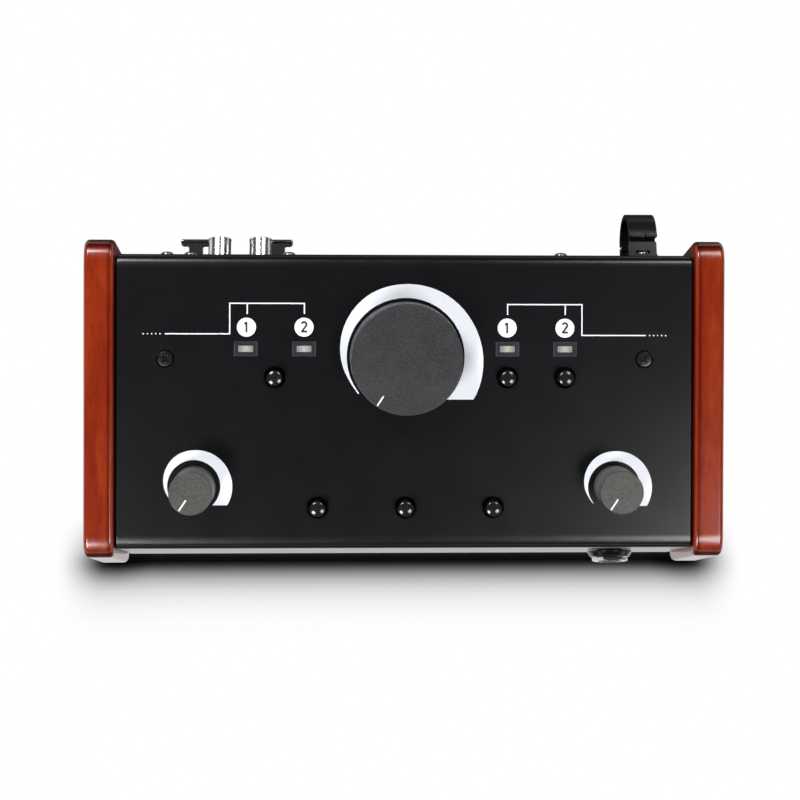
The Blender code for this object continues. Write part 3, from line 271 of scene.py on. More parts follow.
# Frames of the sloping top, the rear wall and the front, and one that extrudes along X
PANEL = Matrix.Translation((0, FRONT_Y, FRONT_HEIGHT)) @ Matrix.Rotation(SLOPE, 4, "X")
REAR = (Matrix.Translation((0, WALL_Y, 0)) @ Matrix.Rotation(pi, 4, "Z")
        @ Matrix.Rotation(pi / 2, 4, "X"))
FRONT = Matrix.Translation((0, FRONT_Y, 0)) @ Matrix.Rotation(pi / 2, 4, "X")
SIDEWAYS = Matrix.Rotation(pi / 2, 4, "Z") @ Matrix.Rotation(pi / 2, 4, "X")

# Steps round a turned shape, a cutting tool's overrun, and the angle that shades as an edge
FINE = 128
ROUND = 64
SMALL = 32
SOCKET_STEPS = 96
OVERRUN = 0.001
SHARP = radians(32)


def at(where, x, y, z=0.0, turn=0.0):
    """The matrix of a place in one of the frames, turned about the frame's z."""
    return where @ Matrix.Translation((x, y, z)) @ Matrix.Rotation(turn, 4, "Z")


def raised(z):
    return Matrix.Translation((0, 0, z))


# Shapes

def arc(radius, start, end, steps, centre=(0, 0)):
    angles = [start + (end - start) * step / steps for step in range(steps + 1)]
    return [(centre[0] + radius * cos(a), centre[1] + radius * sin(a)) for a in angles]


def circle(radius, steps=ROUND, place=(0, 0)):
    return arc(radius, 0, 2 * pi, steps, place)[:-1]


def rectangle(width, depth):
    return [(-width / 2, -depth / 2), (width / 2, -depth / 2), (width / 2, depth / 2),
            (-width / 2, depth / 2)]


def round_corner(before, corner, after, radius, steps):
    corner = Vector(corner)
    back = (Vector(before) - corner).normalized()
    ahead = (Vector(after) - corner).normalized()
    half = back.angle(ahead) / 2
    if radius == 0 or half > radians(89.9):
        return [tuple(corner)]
    centre = corner + (back + ahead).normalized() * radius / sin(half)
    first = corner + back * radius / tan(half) - centre
    turn = copysign(pi - 2 * half, back.x * ahead.y - back.y * ahead.x)
    return [tuple(centre + Matrix.Rotation(-turn * step / steps, 2) @ first)
            for step in range(steps + 1)]


def rounded(points, radius, steps=6, closed=True):
    """A path with each corner turned into an arc. The radius is one value or one for each."""
    radii = radius if isinstance(radius, (list, tuple)) else [radius] * len(points)
    result = []
    for index, corner in enumerate(points):
        if not closed and index in (0, len(points) - 1):
            result.append(tuple(corner))
            continue
        after = points[(index + 1) % len(points)]
        result += round_corner(points[index - 1], corner, after, radii[index], steps)
    return result


def bend(before, corner, after, arcs, steps=10):
    """A corner turned by arcs of (radius, turn), one after the other along the path."""
    corner = Vector(corner)
    first = (corner - Vector(before)).normalized()
    last = (Vector(after) - corner).normalized()
    side = copysign(1, first.cross(last))
    spot = Vector((0, 0))
    heading = atan2(first.y, first.x)
    path = [spot.copy()]
    for radius, turn in arcs:
        part = side * turn / steps
        for _ in range(steps):
            middle = heading + part / 2
            spot += 2 * radius * sin(abs(part) / 2) * Vector((cos(middle), sin(middle)))
            heading += part
            path.append(spot.copy())
    start = corner - first * (spot.cross(last) / first.cross(last))
    return [tuple(start + point) for point in path]


def lathe(profile, steps, ring=False):
    """A turned shape about z, from a profile of (radius, height)."""
    bm = bmesh.new()
    verts = [bm.verts.new((radius, 0, height)) for radius, height in profile]
    pairs = list(zip(verts, verts[1:]))
    if ring:
        pairs.append((verts[-1], verts[0]))
    edges = [bm.edges.new(pair) for pair in pairs]
    bmesh.ops.spin(bm, geom=verts + edges, cent=(0, 0, 0), axis=(0, 0, 1),
                   angle=2 * pi, steps=steps, use_merge=True)
    bmesh.ops.remove_doubles(bm, verts=bm.verts, dist=MERGE)
    bmesh.ops.recalc_face_normals(bm, faces=bm.faces)
    return bm


def prism(outline, low, high, bevel=0.0, segments=3):
    """An outline in x, y, extruded along z, with its two rims rounded over."""
    bm = bmesh.new()
    floor = bm.faces.new([bm.verts.new((x, y, low)) for x, y in outline])
    grown = bmesh.ops.extrude_face_region(bm, geom=[floor])
    moved = [item for item in grown["geom"] if isinstance(item, bmesh.types.BMVert)]
    bmesh.ops.translate(bm, verts=moved, vec=(0, 0, high - low))
    bmesh.ops.recalc_face_normals(bm, faces=bm.faces)
    if bevel:
        rims = [edge for edge in bm.edges if abs(edge.verts[0].co.z - edge.verts[1].co.z) < MERGE]
        bmesh.ops.bevel(bm, geom=rims, offset=bevel, offset_type="OFFSET", segments=segments,
                        profile=0.5, affect="EDGES", clamp_overlap=True)
    return bm


def box(low, high, bevel=0.0, segments=2):
    low, high = Vector(low), Vector(high)
    bm = bmesh.new()
    matrix = Matrix.Translation((low + high) / 2) @ Matrix.Diagonal((*(high - low), 1))
    bmesh.ops.create_cube(bm, size=1, matrix=matrix)
    if bevel:
        bmesh.ops.bevel(bm, geom=bm.edges[:], offset=bevel, offset_type="OFFSET",
                        segments=segments, profile=0.5, affect="EDGES")
    return bm


def placed(bm, matrix):
    bm.transform(matrix)
    if matrix.determinant() < 0:
        bmesh.ops.reverse_faces(bm, faces=bm.faces[:])
    return bm


def mesh_of(name, bm):
    """A mesh made from a shape, which is used up."""
    mesh = bpy.data.meshes.new(name)
    bm.to_mesh(mesh)
    bm.free()
    return mesh


def shown(name, data):
    """A new object in the scene."""
    made = bpy.data.objects.new(name, data)
    bpy.context.scene.collection.objects.link(made)
    return made


def merged(shapes):
    """One shape that holds all the shapes, which are used up."""
    whole = bmesh.new()
    for shape in shapes:
        mesh = mesh_of("shape", shape)
        whole.from_mesh(mesh)
        bpy.data.meshes.remove(mesh)
    return whole


def carved(bm, tool, operation="DIFFERENCE"):
    """The first shape with the second cut away or joined on. Both are used up."""
    target = shown("target", mesh_of("target", bm))
    cutter = shown("cutter", mesh_of("cutter", tool))
    step = target.modifiers.new("carve", "BOOLEAN")
    step.operation = operation
    step.solver = "EXACT"
    step.object = cutter
    bpy.context.view_layer.update()
    graph = bpy.context.evaluated_depsgraph_get()
    mesh = bpy.data.meshes.new_from_object(target.evaluated_get(graph))
    result = bmesh.new()
    result.from_mesh(mesh)
    bpy.data.meshes.remove(mesh)
    for item in (target, cutter):
        data = item.data
        bpy.data.objects.remove(item)
        bpy.data.meshes.remove(data)
    return result


def stroke(points, width, low, high):
    """A flat band of one width along a path, with square ends."""
    half = width / 2
    left, right = [], []
    for index, spot in enumerate(points):
        spot = Vector(spot)
        before = Vector(points[max(index - 1, 0)])
        after = Vector(points[min(index + 1, len(points) - 1)])
        sides = [side.normalized() for side in (spot - before, after - spot) if side.length > 0]
        along = sum(sides, Vector((0, 0))).normalized()
        normal = Vector((-along.y, along.x))
        spread = half / max(0.3, along.dot(sides[0]))
        left.append(tuple(spot + normal * spread))
        right.append(tuple(spot - normal * spread))
    return prism(left + right[::-1], low, high)


def piece(name, bm, look, body="casing", nodes=()):
    """Turns a shape into an object that rides on its body and stands for its nodes."""
    mesh = mesh_of(name, bm)
    mesh.shade_smooth()
    mesh.set_sharp_from_angle(angle=SHARP)
    mesh.materials.append(LOOKS[look])
    made = shown(name, mesh)
    normals = made.modifiers.new("normals", "WEIGHTED_NORMAL")
    normals.keep_sharp = True
    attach(made, body)
    if nodes:
        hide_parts(*nodes)


# Materials

class Nodes:
    """Adds shader nodes to a tree, each linked to the sockets or values it is given."""

    def __init__(self, tree):
        self.tree = tree

    def link(self, source, socket):
        if isinstance(source, bpy.types.NodeSocket):
            self.tree.links.new(source, socket)
        else:
            socket.default_value = source

    def node(self, kind, links=(), **values):
        made = self.tree.nodes.new("ShaderNode" + kind)
        for name, value in values.items():
            setattr(made, name, value)
        for socket, source in dict(links).items():
            self.link(source, made.inputs[socket])
        return made

    def maths(self, operation, *values):
        return self.node("Math", enumerate(values), operation=operation).outputs["Value"]

    def scaled(self, factor, low, high, start=0.3, end=0.7, kind="LINEAR"):
        return self.node("MapRange", {
            "Value": factor, "From Min": start, "From Max": end, "To Min": low,
            "To Max": high}, interpolation_type=kind).outputs["Result"]

    def parts(self, vector):
        return self.node("SeparateXYZ", {"Vector": vector}).outputs

    def ramp(self, factor, stops):
        """Colours, or levels of grey, at places from 0 to 1."""
        made = self.node("ValToRGB", {"Fac": factor})
        line = made.color_ramp.elements
        while len(line) < len(stops):
            line.new(0.5)
        for stop, (place, colour) in zip(line, stops):
            stop.position = place
            stop.color = (*(colour if isinstance(colour, tuple) else [colour] * 3), 1)
        return made.outputs["Color"]


class Look(Nodes):
    """Builds the nodes of one material round its Principled shader."""

    def __init__(self, name, colour, roughness, metallic=0.0, **sockets):
        self.made = bpy.data.materials.new(name)
        self.made.use_nodes = True
        super().__init__(self.made.node_tree)
        self.shader = self.tree.nodes["Principled BSDF"]
        self.shader.inputs["Base Color"].default_value = (*colour, 1)
        self.shader.inputs["Roughness"].default_value = roughness
        self.shader.inputs["Metallic"].default_value = metallic
        for socket, value in sockets.items():
            self.shader.inputs[socket.replace("_", " ")].default_value = value
        self.place = self.node("TexCoord").outputs["Object"]

    def noise(self, size, detail=2.0, stretch=(1, 1, 1), roughness=0.5, distortion=0.0):
        """Noise whose blots are about this size, in metres."""
        scale = tuple(1 / (size * share) for share in stretch)
        spot = self.node("Mapping", {"Vector": self.place, "Scale": scale})
        return self.node("TexNoise", {
            "Vector": spot.outputs["Vector"], "Scale": 1.0, "Detail": detail,
            "Roughness": roughness, "Distortion": distortion}).outputs["Fac"]

    def mixed(self, factor, first, second, blend="MIX"):
        made = self.node("Mix", {0: factor}, data_type="RGBA", blend_type=blend)
        for index, source in ((6, first), (7, second)):
            self.link((*source, 1) if isinstance(source, tuple) else source, made.inputs[index])
        return made.outputs[2]

    def colour(self, source):
        self.link(source, self.shader.inputs["Base Color"])

    def roughness(self, source):
        self.link(source, self.shader.inputs["Roughness"])

    def bump(self, height, distance, strength=1.0):
        made = self.node("Bump", {
            "Height": height, "Distance": distance, "Strength": strength})
        self.link(made.outputs["Normal"], self.shader.inputs["Normal"])


def plastic(name, dark, pale, roughness, grain=0.0003, depth=0.000004, spread=0.06,
            **sockets):
    """Moulded plastic or coating: two close tones, uneven gloss and a fine grain."""
    look = Look(name, dark, roughness, **sockets)
    fine = look.noise(grain, 3.0)
    broad = look.noise(0.012, 2.0)
    look.colour(look.ramp(fine, [(0.35, dark), (0.65, pale)]))
    look.roughness(look.scaled(broad, roughness - spread, roughness + spread))
    look.bump(fine, depth)
    return look.made


def metal(name, colour, roughness, spread, grain=0.0005, stretch=(1, 1, 1), depth=0.0):
    """Metal with uneven gloss and, where it has a depth, a grain."""
    look = Look(name, colour, roughness, 1.0)
    fine = look.noise(grain, 4.0, stretch)
    darker = tuple(value * 0.88 for value in colour)
    look.colour(look.ramp(fine, [(0.25, darker), (0.6, colour)]))
    look.roughness(look.scaled(fine, roughness - spread, roughness + spread))
    if depth:
        look.bump(fine, depth)
    return look.made


def wood():
    """Red-brown stained wood with its grain along the depth, under clear gloss lacquer. Faces
    turned to the front and rear of the slope carry painted shade. The arrises carry painted
    highlights, the inner one beside a line of painted shade, and the inner face painted shade."""
    look = Look("lacquered_wood", (0.28, 0.025, 0.004), 0.42, Coat_Weight=1.0,
                Coat_Roughness=0.18, Coat_IOR=1.6, Specular_IOR_Level=0.0)
    streaks = look.noise(0.0012, 3.0, (1, 26, 1.3), 0.5, 0.4)
    bands = look.noise(0.0065, 1.5, (1, 10, 1.4), 0.5, 0.6)
    pores = look.noise(0.00035, 2.0, (1, 14, 1))
    base = look.ramp(bands, [(0.3, (0.255, 0.0195, 0.0028)), (0.5, (0.305, 0.0270, 0.0043)),
                             (0.7, (0.355, 0.0390, 0.0062))])
    lines = look.ramp(streaks, [(0.34, (0.74, 0.62, 0.55)), (0.54, (1, 1, 1))])
    tone = look.mixed(0.6, base, lines, "MULTIPLY")
    specks = look.ramp(pores, [(0.28, (0.6, 0.5, 0.48)), (0.40, (1, 1, 1))])
    tone = look.mixed(0.35, tone, specks, "MULTIPLY")
    across = look.maths("ABSOLUTE", look.parts(look.place)["X"])
    across = look.scaled(across, 0, 1, INNER_HALF, CASE_WIDTH / 2)
    # Painted light across the cheek: painted shade on the inner face, a painted highlight on the
    # inner arris with a line of painted shade beside it, and a painted highlight on the outer
    # arris.
    plain, painted_arris_highlight, dark = (0.77, 0.77, 0.77), (0.85, 1.0, 1.0), (0.42, 0.26, 0.18)
    edges = look.ramp(across, [(0.0, dark), (0.035, painted_arris_highlight), (0.075, painted_arris_highlight), (0.12, dark),
                               (0.17, dark), (0.26, plain), (0.93, plain), (0.97, painted_arris_highlight)])
    tone = look.mixed(1.0, tone, edges, "MULTIPLY")
    # Painted shade: faces turned towards the front or rear of the slope are darkened.
    facing = look.node("VectorMath", {
        0: look.node("TexCoord").outputs["Normal"],
        1: (0, cos(SLOPE), sin(SLOPE))}, operation="DOT_PRODUCT").outputs["Value"]
    facing = look.maths("ABSOLUTE", facing)
    ends = look.ramp(facing, [(0.40, (1, 1, 1)), (0.60, (0.27, 0.17, 0.12))])
    look.colour(look.mixed(1.0, tone, ends, "MULTIPLY"))
    look.roughness(look.scaled(bands, 0.36, 0.50))
    look.bump(look.noise(0.009, 1.0, (1, 3, 1)), 0.00002, 0.6)
    return look.made


def board_green():
    """Solder resist over copper tracks."""
    look = Look("circuit_board", (0.012, 0.10, 0.035), 0.35, Coat_Weight=0.4)
    tracks = look.node("TexVoronoi", {
        "Vector": look.place, "Scale": 240.0}, feature="DISTANCE_TO_EDGE",
        distance="CHEBYCHEV").outputs["Distance"]
    lines = look.ramp(tracks, [(0.05, (0.03, 0.19, 0.07)), (0.09, (0.010, 0.085, 0.03))])
    look.colour(look.mixed(0.25, lines, look.ramp(look.noise(0.004), [
        (0.4, (0.008, 0.07, 0.02)), (0.6, (0.02, 0.13, 0.05))])))
    look.roughness(look.scaled(look.noise(0.002), 0.28, 0.45))
    look.bump(tracks, 0.00002)
    return look.made


def ribbon_grey():
    look = Look("ribbon_cable", (0.40, 0.40, 0.42), 0.5)
    ribs = look.node("TexWave", {"Vector": look.place, "Scale": 125.0},
                     wave_type="BANDS", bands_direction="X").outputs["Fac"]
    look.colour(look.ramp(ribs, [(0.0, (0.26, 0.26, 0.28)), (0.5, (0.42, 0.42, 0.44))]))
    look.roughness(look.scaled(look.noise(0.002), 0.42, 0.58))
    look.bump(ribs, 0.00015)
    return look.made


def lens_cream():
    """Milky lens with painted light: brighter in the middle of its width, where the light would
    come through, and darker in a band near each side.
    """
    look = Look("lamp_lens", (0.62, 0.60, 0.55), 0.28, Coat_Weight=0.5)
    inside = look.node("TexCoord").outputs["Generated"]
    rim, cream = (0.27, 0.28, 0.28), (0.31, 0.30, 0.28)
    # Painted light: the lens colour brightens towards the middle of its width.
    tone = look.ramp(look.parts(inside)["X"], [
        (0.0, rim), (0.12, (0.22, 0.23, 0.23)), (0.22, cream), (0.5, (0.46, 0.43, 0.37)),
        (0.80, cream), (0.9, (0.23, 0.24, 0.24)), (1.0, rim)])
    cloud = look.ramp(look.noise(0.0006, 3.0), [(0.3, 0.86), (0.7, 1)])
    look.colour(look.mixed(0.6, tone, cloud, "MULTIPLY"))
    look.roughness(look.scaled(look.noise(0.0008), 0.2, 0.36))
    return look.made


def make_materials():
    chrome = (0.80, 0.79, 0.77)
    return {
        "wood": wood(),
        "cover": plastic("black_coating", (0.0010, 0.0011, 0.0018), (0.0022, 0.0024, 0.0036),
                         0.25, 0.00016, spread=0.008, IOR=1.62),
        "chassis": plastic("black_tray_coating", (0.006, 0.006, 0.0065),
                           (0.013, 0.013, 0.014), 0.42, 0.0002, 0.000008),
        "print": plastic("white_print", (0.86, 0.89, 0.96), (0.91, 0.93, 0.98), 0.45, 0.0004),
        "numeral": plastic("dark_print", (0.010, 0.010, 0.012), (0.016, 0.016, 0.018), 0.45,
                           0.0004),
        "volume_knob": plastic("volume_knob_plastic", (0.012, 0.012, 0.0135),
                               (0.040, 0.040, 0.044), 0.42, 0.00045, 0.00003),
        "small_knob": plastic("small_knob_plastic", (0.034, 0.0335, 0.031),
                              (0.089, 0.087, 0.081), 0.42, 0.00045, 0.00003),
        "pointer": plastic("pointer_white", (0.80, 0.80, 0.80), (0.86, 0.86, 0.86), 0.5,
                           depth=0.000005),
        "cap": plastic("cap_gloss_plastic", (0.008, 0.008, 0.010), (0.014, 0.014, 0.017),
                       0.13, 0.0005, 0.000001, 0.03, IOR=1.6),
        "lens": lens_cream(),
        "lamp": plastic("lamp_housing_plastic", (0.010, 0.013, 0.018), (0.017, 0.022, 0.029),
                        0.35),
        # Painted highlight: the lamp rims are coloured lighter to stand for light along each
        # window's edge.
        "rim": plastic("lamp_rim_plastic", (0.026, 0.034, 0.044), (0.042, 0.052, 0.064), 0.4),
        "switch": plastic("switch_plastic", (0.02, 0.02, 0.02), (0.035, 0.035, 0.035), 0.5,
                          depth=0.00001),
        "socket": plastic("socket_plastic", (0.008, 0.008, 0.009), (0.016, 0.016, 0.018), 0.30,
                          depth=0.000006),
        "clamp": plastic("clamp_plastic", (0.0035, 0.0035, 0.005), (0.008, 0.008, 0.011), 0.34,
                         0.0005, 0.000008, Specular_IOR_Level=0.3),
        "bezel": plastic("bezel_gloss_plastic", (0.003, 0.003, 0.0035), (0.006, 0.006, 0.007),
                         0.20, spread=0.04),
        "white_core": plastic("white_plastic", (0.66, 0.66, 0.64), (0.74, 0.74, 0.72), 0.35),
        "red_core": plastic("red_plastic", (0.42, 0.012, 0.010), (0.52, 0.02, 0.016), 0.35),
        "rubber": plastic("foot_rubber", (0.012, 0.012, 0.012), (0.026, 0.026, 0.026), 0.78,
                          depth=0.00002),
        "chrome": metal("bright_chrome", chrome, 0.07, 0.03, 0.0007),
        "sleeve": metal("satin_chrome", chrome, 0.25, 0.04, 0.0007),
        "nut": metal("nut_chrome", (0.74, 0.72, 0.66), 0.14, 0.04),
        "pin": metal("pin_silver", (0.78, 0.76, 0.70), 0.18, 0.05, 0.0004),
        "steel": metal("pot_steel", (0.45, 0.45, 0.46), 0.34, 0.08, 0.0004, (1, 1, 8),
                       0.000006),
        "shaft": metal("shaft_aluminium", (0.60, 0.60, 0.60), 0.30, 0.06, 0.0003, (6, 6, 1),
                       0.000005),
        "oxide": metal("black_oxide", (0.060, 0.060, 0.064), 0.30, 0.08, depth=0.000004),
        "dull": metal("dull_nickel", (0.22, 0.22, 0.23), 0.32, 0.08, depth=0.000004),
        "board": board_green(),
        "ribbon": ribbon_grey(),
    }


LOOKS = make_materials()


def dress(nodes, look):
    """Gives CAD nodes that no piece stands for their material."""
    for name in nodes:
        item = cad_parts[name]
        item.data.materials.clear()
        item.data.materials.append(LOOKS[look])


# Casing

def make_cheeks():
    def on_panel(row, lift):
        spot = PANEL @ Vector((0, row, lift))
        return spot.y, spot.z

    front_top = on_panel(-CHEEK_FRONT - CHEEK_LEAN, CHEEK_PROUD)
    rear_top = on_panel(PANEL_LENGTH + CHEEK_REAR, CHEEK_PROUD)
    corners = [(front_top[0] + CHEEK_LEAN, CHEEK_LIFT), (rear_top[0], CHEEK_LIFT), rear_top,
               front_top]
    tight, gentle = (CHEEK_CORNER, 0), (CHEEK_LEAD, CHEEK_LEAD_TURN)
    outline = []
    for index, corner in enumerate(corners):
        before, after = corners[index - 1], corners[(index + 1) % 4]
        if index < 2:
            outline += round_corner(before, corner, after, CHEEK_FOOT_CORNER, 12)
            continue
        turn = (Vector(corner) - Vector(before)).angle(Vector(after) - Vector(corner))
        arcs = [(tight[0], turn - gentle[1]), gentle]
        outline += bend(before, corner, after, arcs if index == 2 else arcs[::-1])
    for name, side in (("left_cheek", -1), ("right_cheek", 1)):
        middle = side * (CASE_WIDTH - CHEEK_THICK) / 2
        low, high = middle - CHEEK_THICK / 2, middle + CHEEK_THICK / 2
        shape = prism(outline, low, high, CHEEK_ARRIS, 5)
        piece(name + "_board", placed(shape, SIDEWAYS), "wood",
              nodes=[name])


def make_cover():
    piece("cover_sheet", carved(cover_sheet(), cover_holes()), "cover",
          nodes=["top_cover"])


def cover_outline():
    """The folded sheet's section in y, z, outside and then inside. The front leans out a
    little towards the top, and the rear bend hangs over a little."""
    drop = SHEET / cos(SLOPE)
    rear = REAR_Y + COVER_OVERHANG
    outer = [(FRONT_Y + COVER_LEAN, COVER_HEM),
             (FRONT_Y - COVER_LEAN, FRONT_HEIGHT - COVER_LEAN * tan(SLOPE)),
             (rear, REAR_HEIGHT + COVER_OVERHANG * tan(SLOPE)), (rear, REAR_HEIGHT - LIP)]
    inner = [(FRONT_Y + COVER_LEAN + SHEET, COVER_HEM),
             (FRONT_Y - COVER_LEAN + SHEET,
              FRONT_HEIGHT + (SHEET - COVER_LEAN) * tan(SLOPE) - drop),
             (rear - SHEET,
              REAR_HEIGHT + (COVER_OVERHANG - SHEET) * tan(SLOPE) - drop),
             (rear - SHEET, REAR_HEIGHT - LIP)]
    sides = []
    for path, sunk in ((outer, 0), (inner, SHEET)):
        gentle = (BEND_LEAD - sunk, BEND_LEAD_TURN)
        legs = [Vector(end) - Vector(start) for start, end in zip(path, path[1:])]
        tight = [(BEND - sunk, legs[i].angle(legs[i + 1]) - BEND_LEAD_TURN) for i in (0, 1)]
        sides.append([path[0]] + bend(*path[:3], [tight[0], gentle])
                     + bend(*path[1:], [gentle, tight[1]]) + [path[3]])
    return sides[0], sides[1]


def hole_tool(radius, chamfer, depth, steps=ROUND):
    """Cuts a round hole whose mouth, at z = 0, is chamfered."""
    profile = [(0, OVERRUN), (radius + chamfer + OVERRUN, OVERRUN), (radius, -chamfer),
               (radius, -depth), (0, -depth)]
    return lathe(profile, steps)


def cover_sheet():
    """The folded sheet, with the side rims of its outer skin rounded over."""
    outer, inner = cover_outline()
    sheet = prism(outer + inner[::-1], -TRAY_HALF, TRAY_HALF)
    skin = {(round(y, 7), round(z, 7)) for y, z in outer}
    rims = [edge for edge in sheet.edges
            if abs(edge.verts[0].co.z - edge.verts[1].co.z) < MERGE
            and all((round(vert.co.x, 7), round(vert.co.y, 7)) in skin for vert in edge.verts)]
    bmesh.ops.bevel(sheet, geom=rims, offset=COVER_ARRIS, offset_type="OFFSET", segments=4,
                    profile=0.5, affect="EDGES", clamp_overlap=True)
    return placed(sheet, SIDEWAYS)


def cover_holes():
    """The tools that cut the cover's holes, in one."""
    deep = 4 * SHEET
    round_holes = [(BUSHING_HOLE, x, row) for x, row, *_ in KNOB_SIZES.values()]
    round_holes += [(CAP_HOLE_RADIUS, x, row) for x, row in BUTTONS.values()]
    tools = [placed(hole_tool(radius, HOLE_CHAMFER, deep), at(PANEL, x, row))
             for radius, x, row in round_holes]
    window = rectangle(LAMP_WIDTH + GAP, LAMP_DEPTH + GAP)
    tools += [placed(prism(window, -deep, OVERRUN), at(PANEL, x, LAMP_ROW))
              for x in LAMP_COLUMNS]
    seat = [(0, OVERRUN), (SUNK_RADIUS + GAP + OVERRUN, OVERRUN),
            (SCREW_RADIUS + GAP, -SUNK_DEPTH), (0, -SUNK_DEPTH)]
    tools += [placed(lathe(seat, ROUND), at(PANEL, side * TOP_SCREW_COLUMN, TOP_SCREW_ROW))
              for side in (-1, 1)]
    tools.append(placed(hole_tool(PHONES_BUSHING + RUN, HOLE_CHAMFER, deep),
                        at(FRONT, PHONES_COLUMN, PHONES_ROW)))
    tools += [placed(hole_tool(SCREW_HOLE, 0.0, 1.6 * SHEET, SMALL),
                     at(REAR, x, row, GAP + SHEET)) for x, row in lip_screw_places()]
    return merged(tools)


# Screws

def cross_tool(arm, width, depth):
    """Cuts a cross recess that narrows towards its floor."""
    half, reach = width / 2, arm / 2
    cross = [(half, half), (half, reach), (-half, reach), (-half, half), (-reach, half),
             (-reach, -half), (-half, -half), (-half, -reach), (half, -reach), (half, -half),
             (reach, -half), (reach, half)]
    bm = prism(cross, -depth, depth)
    for vert in bm.verts:
        if vert.co.z < 0:
            vert.co.x *= RECESS_TAPER
            vert.co.y *= RECESS_TAPER
    return bm


def pan_screw(length, head=HEAD_RADIUS, height=HEAD_HEIGHT, shank=SCREW_RADIUS):
    """A pan-head screw whose head sits just over z = 0."""
    crown = GAP + height
    edge = height * HEAD_ROUND
    profile = [(0, crown)] + arc(edge, pi / 2, 0, 8, (head - edge, crown - edge))
    profile += [(head, GAP), (shank, GAP), (shank, GAP - length), (0, GAP - length)]
    shape = lathe(profile, 48)
    arm, width, depth = RECESS_SHARES
    recess = placed(cross_tool(head * arm, head * width, height * depth), raised(crown))
    return carved(shape, recess)


def lip_screw_places():
    return [(-share * INNER_HALF, REAR_HEIGHT - LIP_SCREW_DROP) for share in LIP_SCREWS_SHARE]


def make_screws():
    for index, (x, row) in enumerate(lip_screw_places()):
        turn = LIP_SCREW_TURN + LIP_SCREW_TWIST * index
        piece("lip_screw_head_%d" % (index + 1),
              placed(pan_screw(LIP_SCREW_LENGTH), at(REAR, x, row, GAP + SHEET, turn)),
              "dull", nodes=["lip_screw_%d" % (index + 1)])
    sink = GAP / 2
    neck = (SCREW_RADIUS, -sink - SUNK_DEPTH)
    profile = rounded([(0, -sink), (SUNK_RADIUS, -sink), neck], SUNK_ROUND, 4, closed=False)
    profile += [(SCREW_RADIUS, -SUNK_LENGTH), (0, -SUNK_LENGTH)]
    for name, side in (("left", -1), ("right", 1)):
        recess = placed(cross_tool(*SUNK_RECESS), raised(-sink))
        shape = carved(lathe(profile, 48), recess)
        where = at(PANEL, side * TOP_SCREW_COLUMN, TOP_SCREW_ROW, 0, side * SUNK_TURN)
        piece("sunk_screw_" + name, placed(shape, where), "oxide",
              nodes=["panel_screw_" + name])


# Knobs, buttons and lamps

def make_knobs():
    for name, (x, row, foot, top, height, wall, near, far) in KNOB_SIZES.items():
        ceiling = height - KNOB_ROOF
        bore_top = height - BORE_ROOF
        outer = rounded([(0, height), (top, height), (foot, KNOB_LIFT), (foot - wall, KNOB_LIFT)],
                        [0, KNOB_ROUND, KNOB_ROUND / 3, 0], 6, closed=False)
        profile = outer + [(foot - wall, ceiling), (HUB_RADIUS, ceiling),
                           (HUB_RADIUS, HUB_FOOT), (SHAFT_BORE, HUB_FOOT),
                           (SHAFT_BORE, bore_top), (0, bore_top)]
        look = "volume_knob" if name == "volume" else "small_knob"
        body = name + "_control"
        piece(name + "_knob_body", placed(lathe(profile, FINE), at(PANEL, x, row)), look,
              body, [name + "_knob"])
        edge = far - KNOB_ROUND
        proud = height + POINTER_PROUD
        bar = stroke([(near, 0), (edge, 0)], POINTER_WIDTH, height - POINTER_SINK, proud)
        lip = stroke([(edge, 0), (far, 0)], POINTER_WIDTH, height - KNOB_ROUND * 1.2, proud)
        for vert in lip.verts:
            if vert.co.x > edge + MERGE and vert.co.z > height:
                vert.co.z = height - KNOB_ROUND * 0.75
                vert.co.x = far - KNOB_ROUND * 0.20
        pointer = placed(merged([bar, lip]), at(PANEL, x, row, 0, POINTER_ANGLE))
        piece(name + "_pointer", pointer, "pointer", body)


def make_caps():
    for name, (x, row) in BUTTONS.items():
        edge = CAP_RADIUS - CAP_ROUND
        tilt = asin(edge / (CAP_DOME - CAP_ROUND))
        dome = arc(CAP_DOME, pi / 2, pi / 2 - tilt, 16, (0, CAP_HEIGHT - CAP_DOME))
        brim = CAP_HEIGHT - CAP_DOME + (CAP_DOME - CAP_ROUND) * cos(tilt)
        outer = dome + arc(CAP_ROUND, pi / 2 - tilt, 0, 6, (edge, brim))[1:]
        outer.append((CAP_RADIUS, CAP_FOOT))
        profile = outer + [(STEM_RADIUS, CAP_FOOT), (STEM_RADIUS, CAP_FOOT - STEM_LENGTH),
                           (0, CAP_FOOT - STEM_LENGTH)]
        piece(name + "_cap", placed(lathe(profile, ROUND), at(PANEL, x, row)), "cap",
              name + "_key", [name + "_button"])


def make_lamps():
    dress(["lamp_%d" % (index + 1) for index in range(4)], "lamp")
    for index, x in enumerate(LAMP_COLUMNS):
        lens = rectangle(LENS_WIDTH - LENS_PLAY, LENS_DEPTH - LENS_PLAY)
        lens = prism(rounded(lens, LENS_CORNER, 4), -LENS_SINK, -LENS_PLAY / 2, LENS_ARRIS, 2)
        piece("lamp_lens_%d" % (index + 1), placed(lens, at(PANEL, x, LAMP_ROW)), "lens")
        # Painted highlight: a thin lighter frame round each lamp stands for light along the edge
        # of its window.
        inner = rectangle(LAMP_WIDTH - LAMP_RIM, LAMP_DEPTH - LAMP_RIM)
        outer = rectangle(LAMP_WIDTH + LAMP_RIM + GAP, LAMP_DEPTH + LAMP_RIM)
        rim = carved(prism(outer, PRINT_LOW, RIM_HIGH, RIM_ARRIS, 2),
                     prism(inner, -OVERRUN, OVERRUN))
        piece("lamp_rim_%d" % (index + 1), placed(rim, at(PANEL, x, LAMP_ROW)),
              "rim")


# Printing on the top: places in millimetres

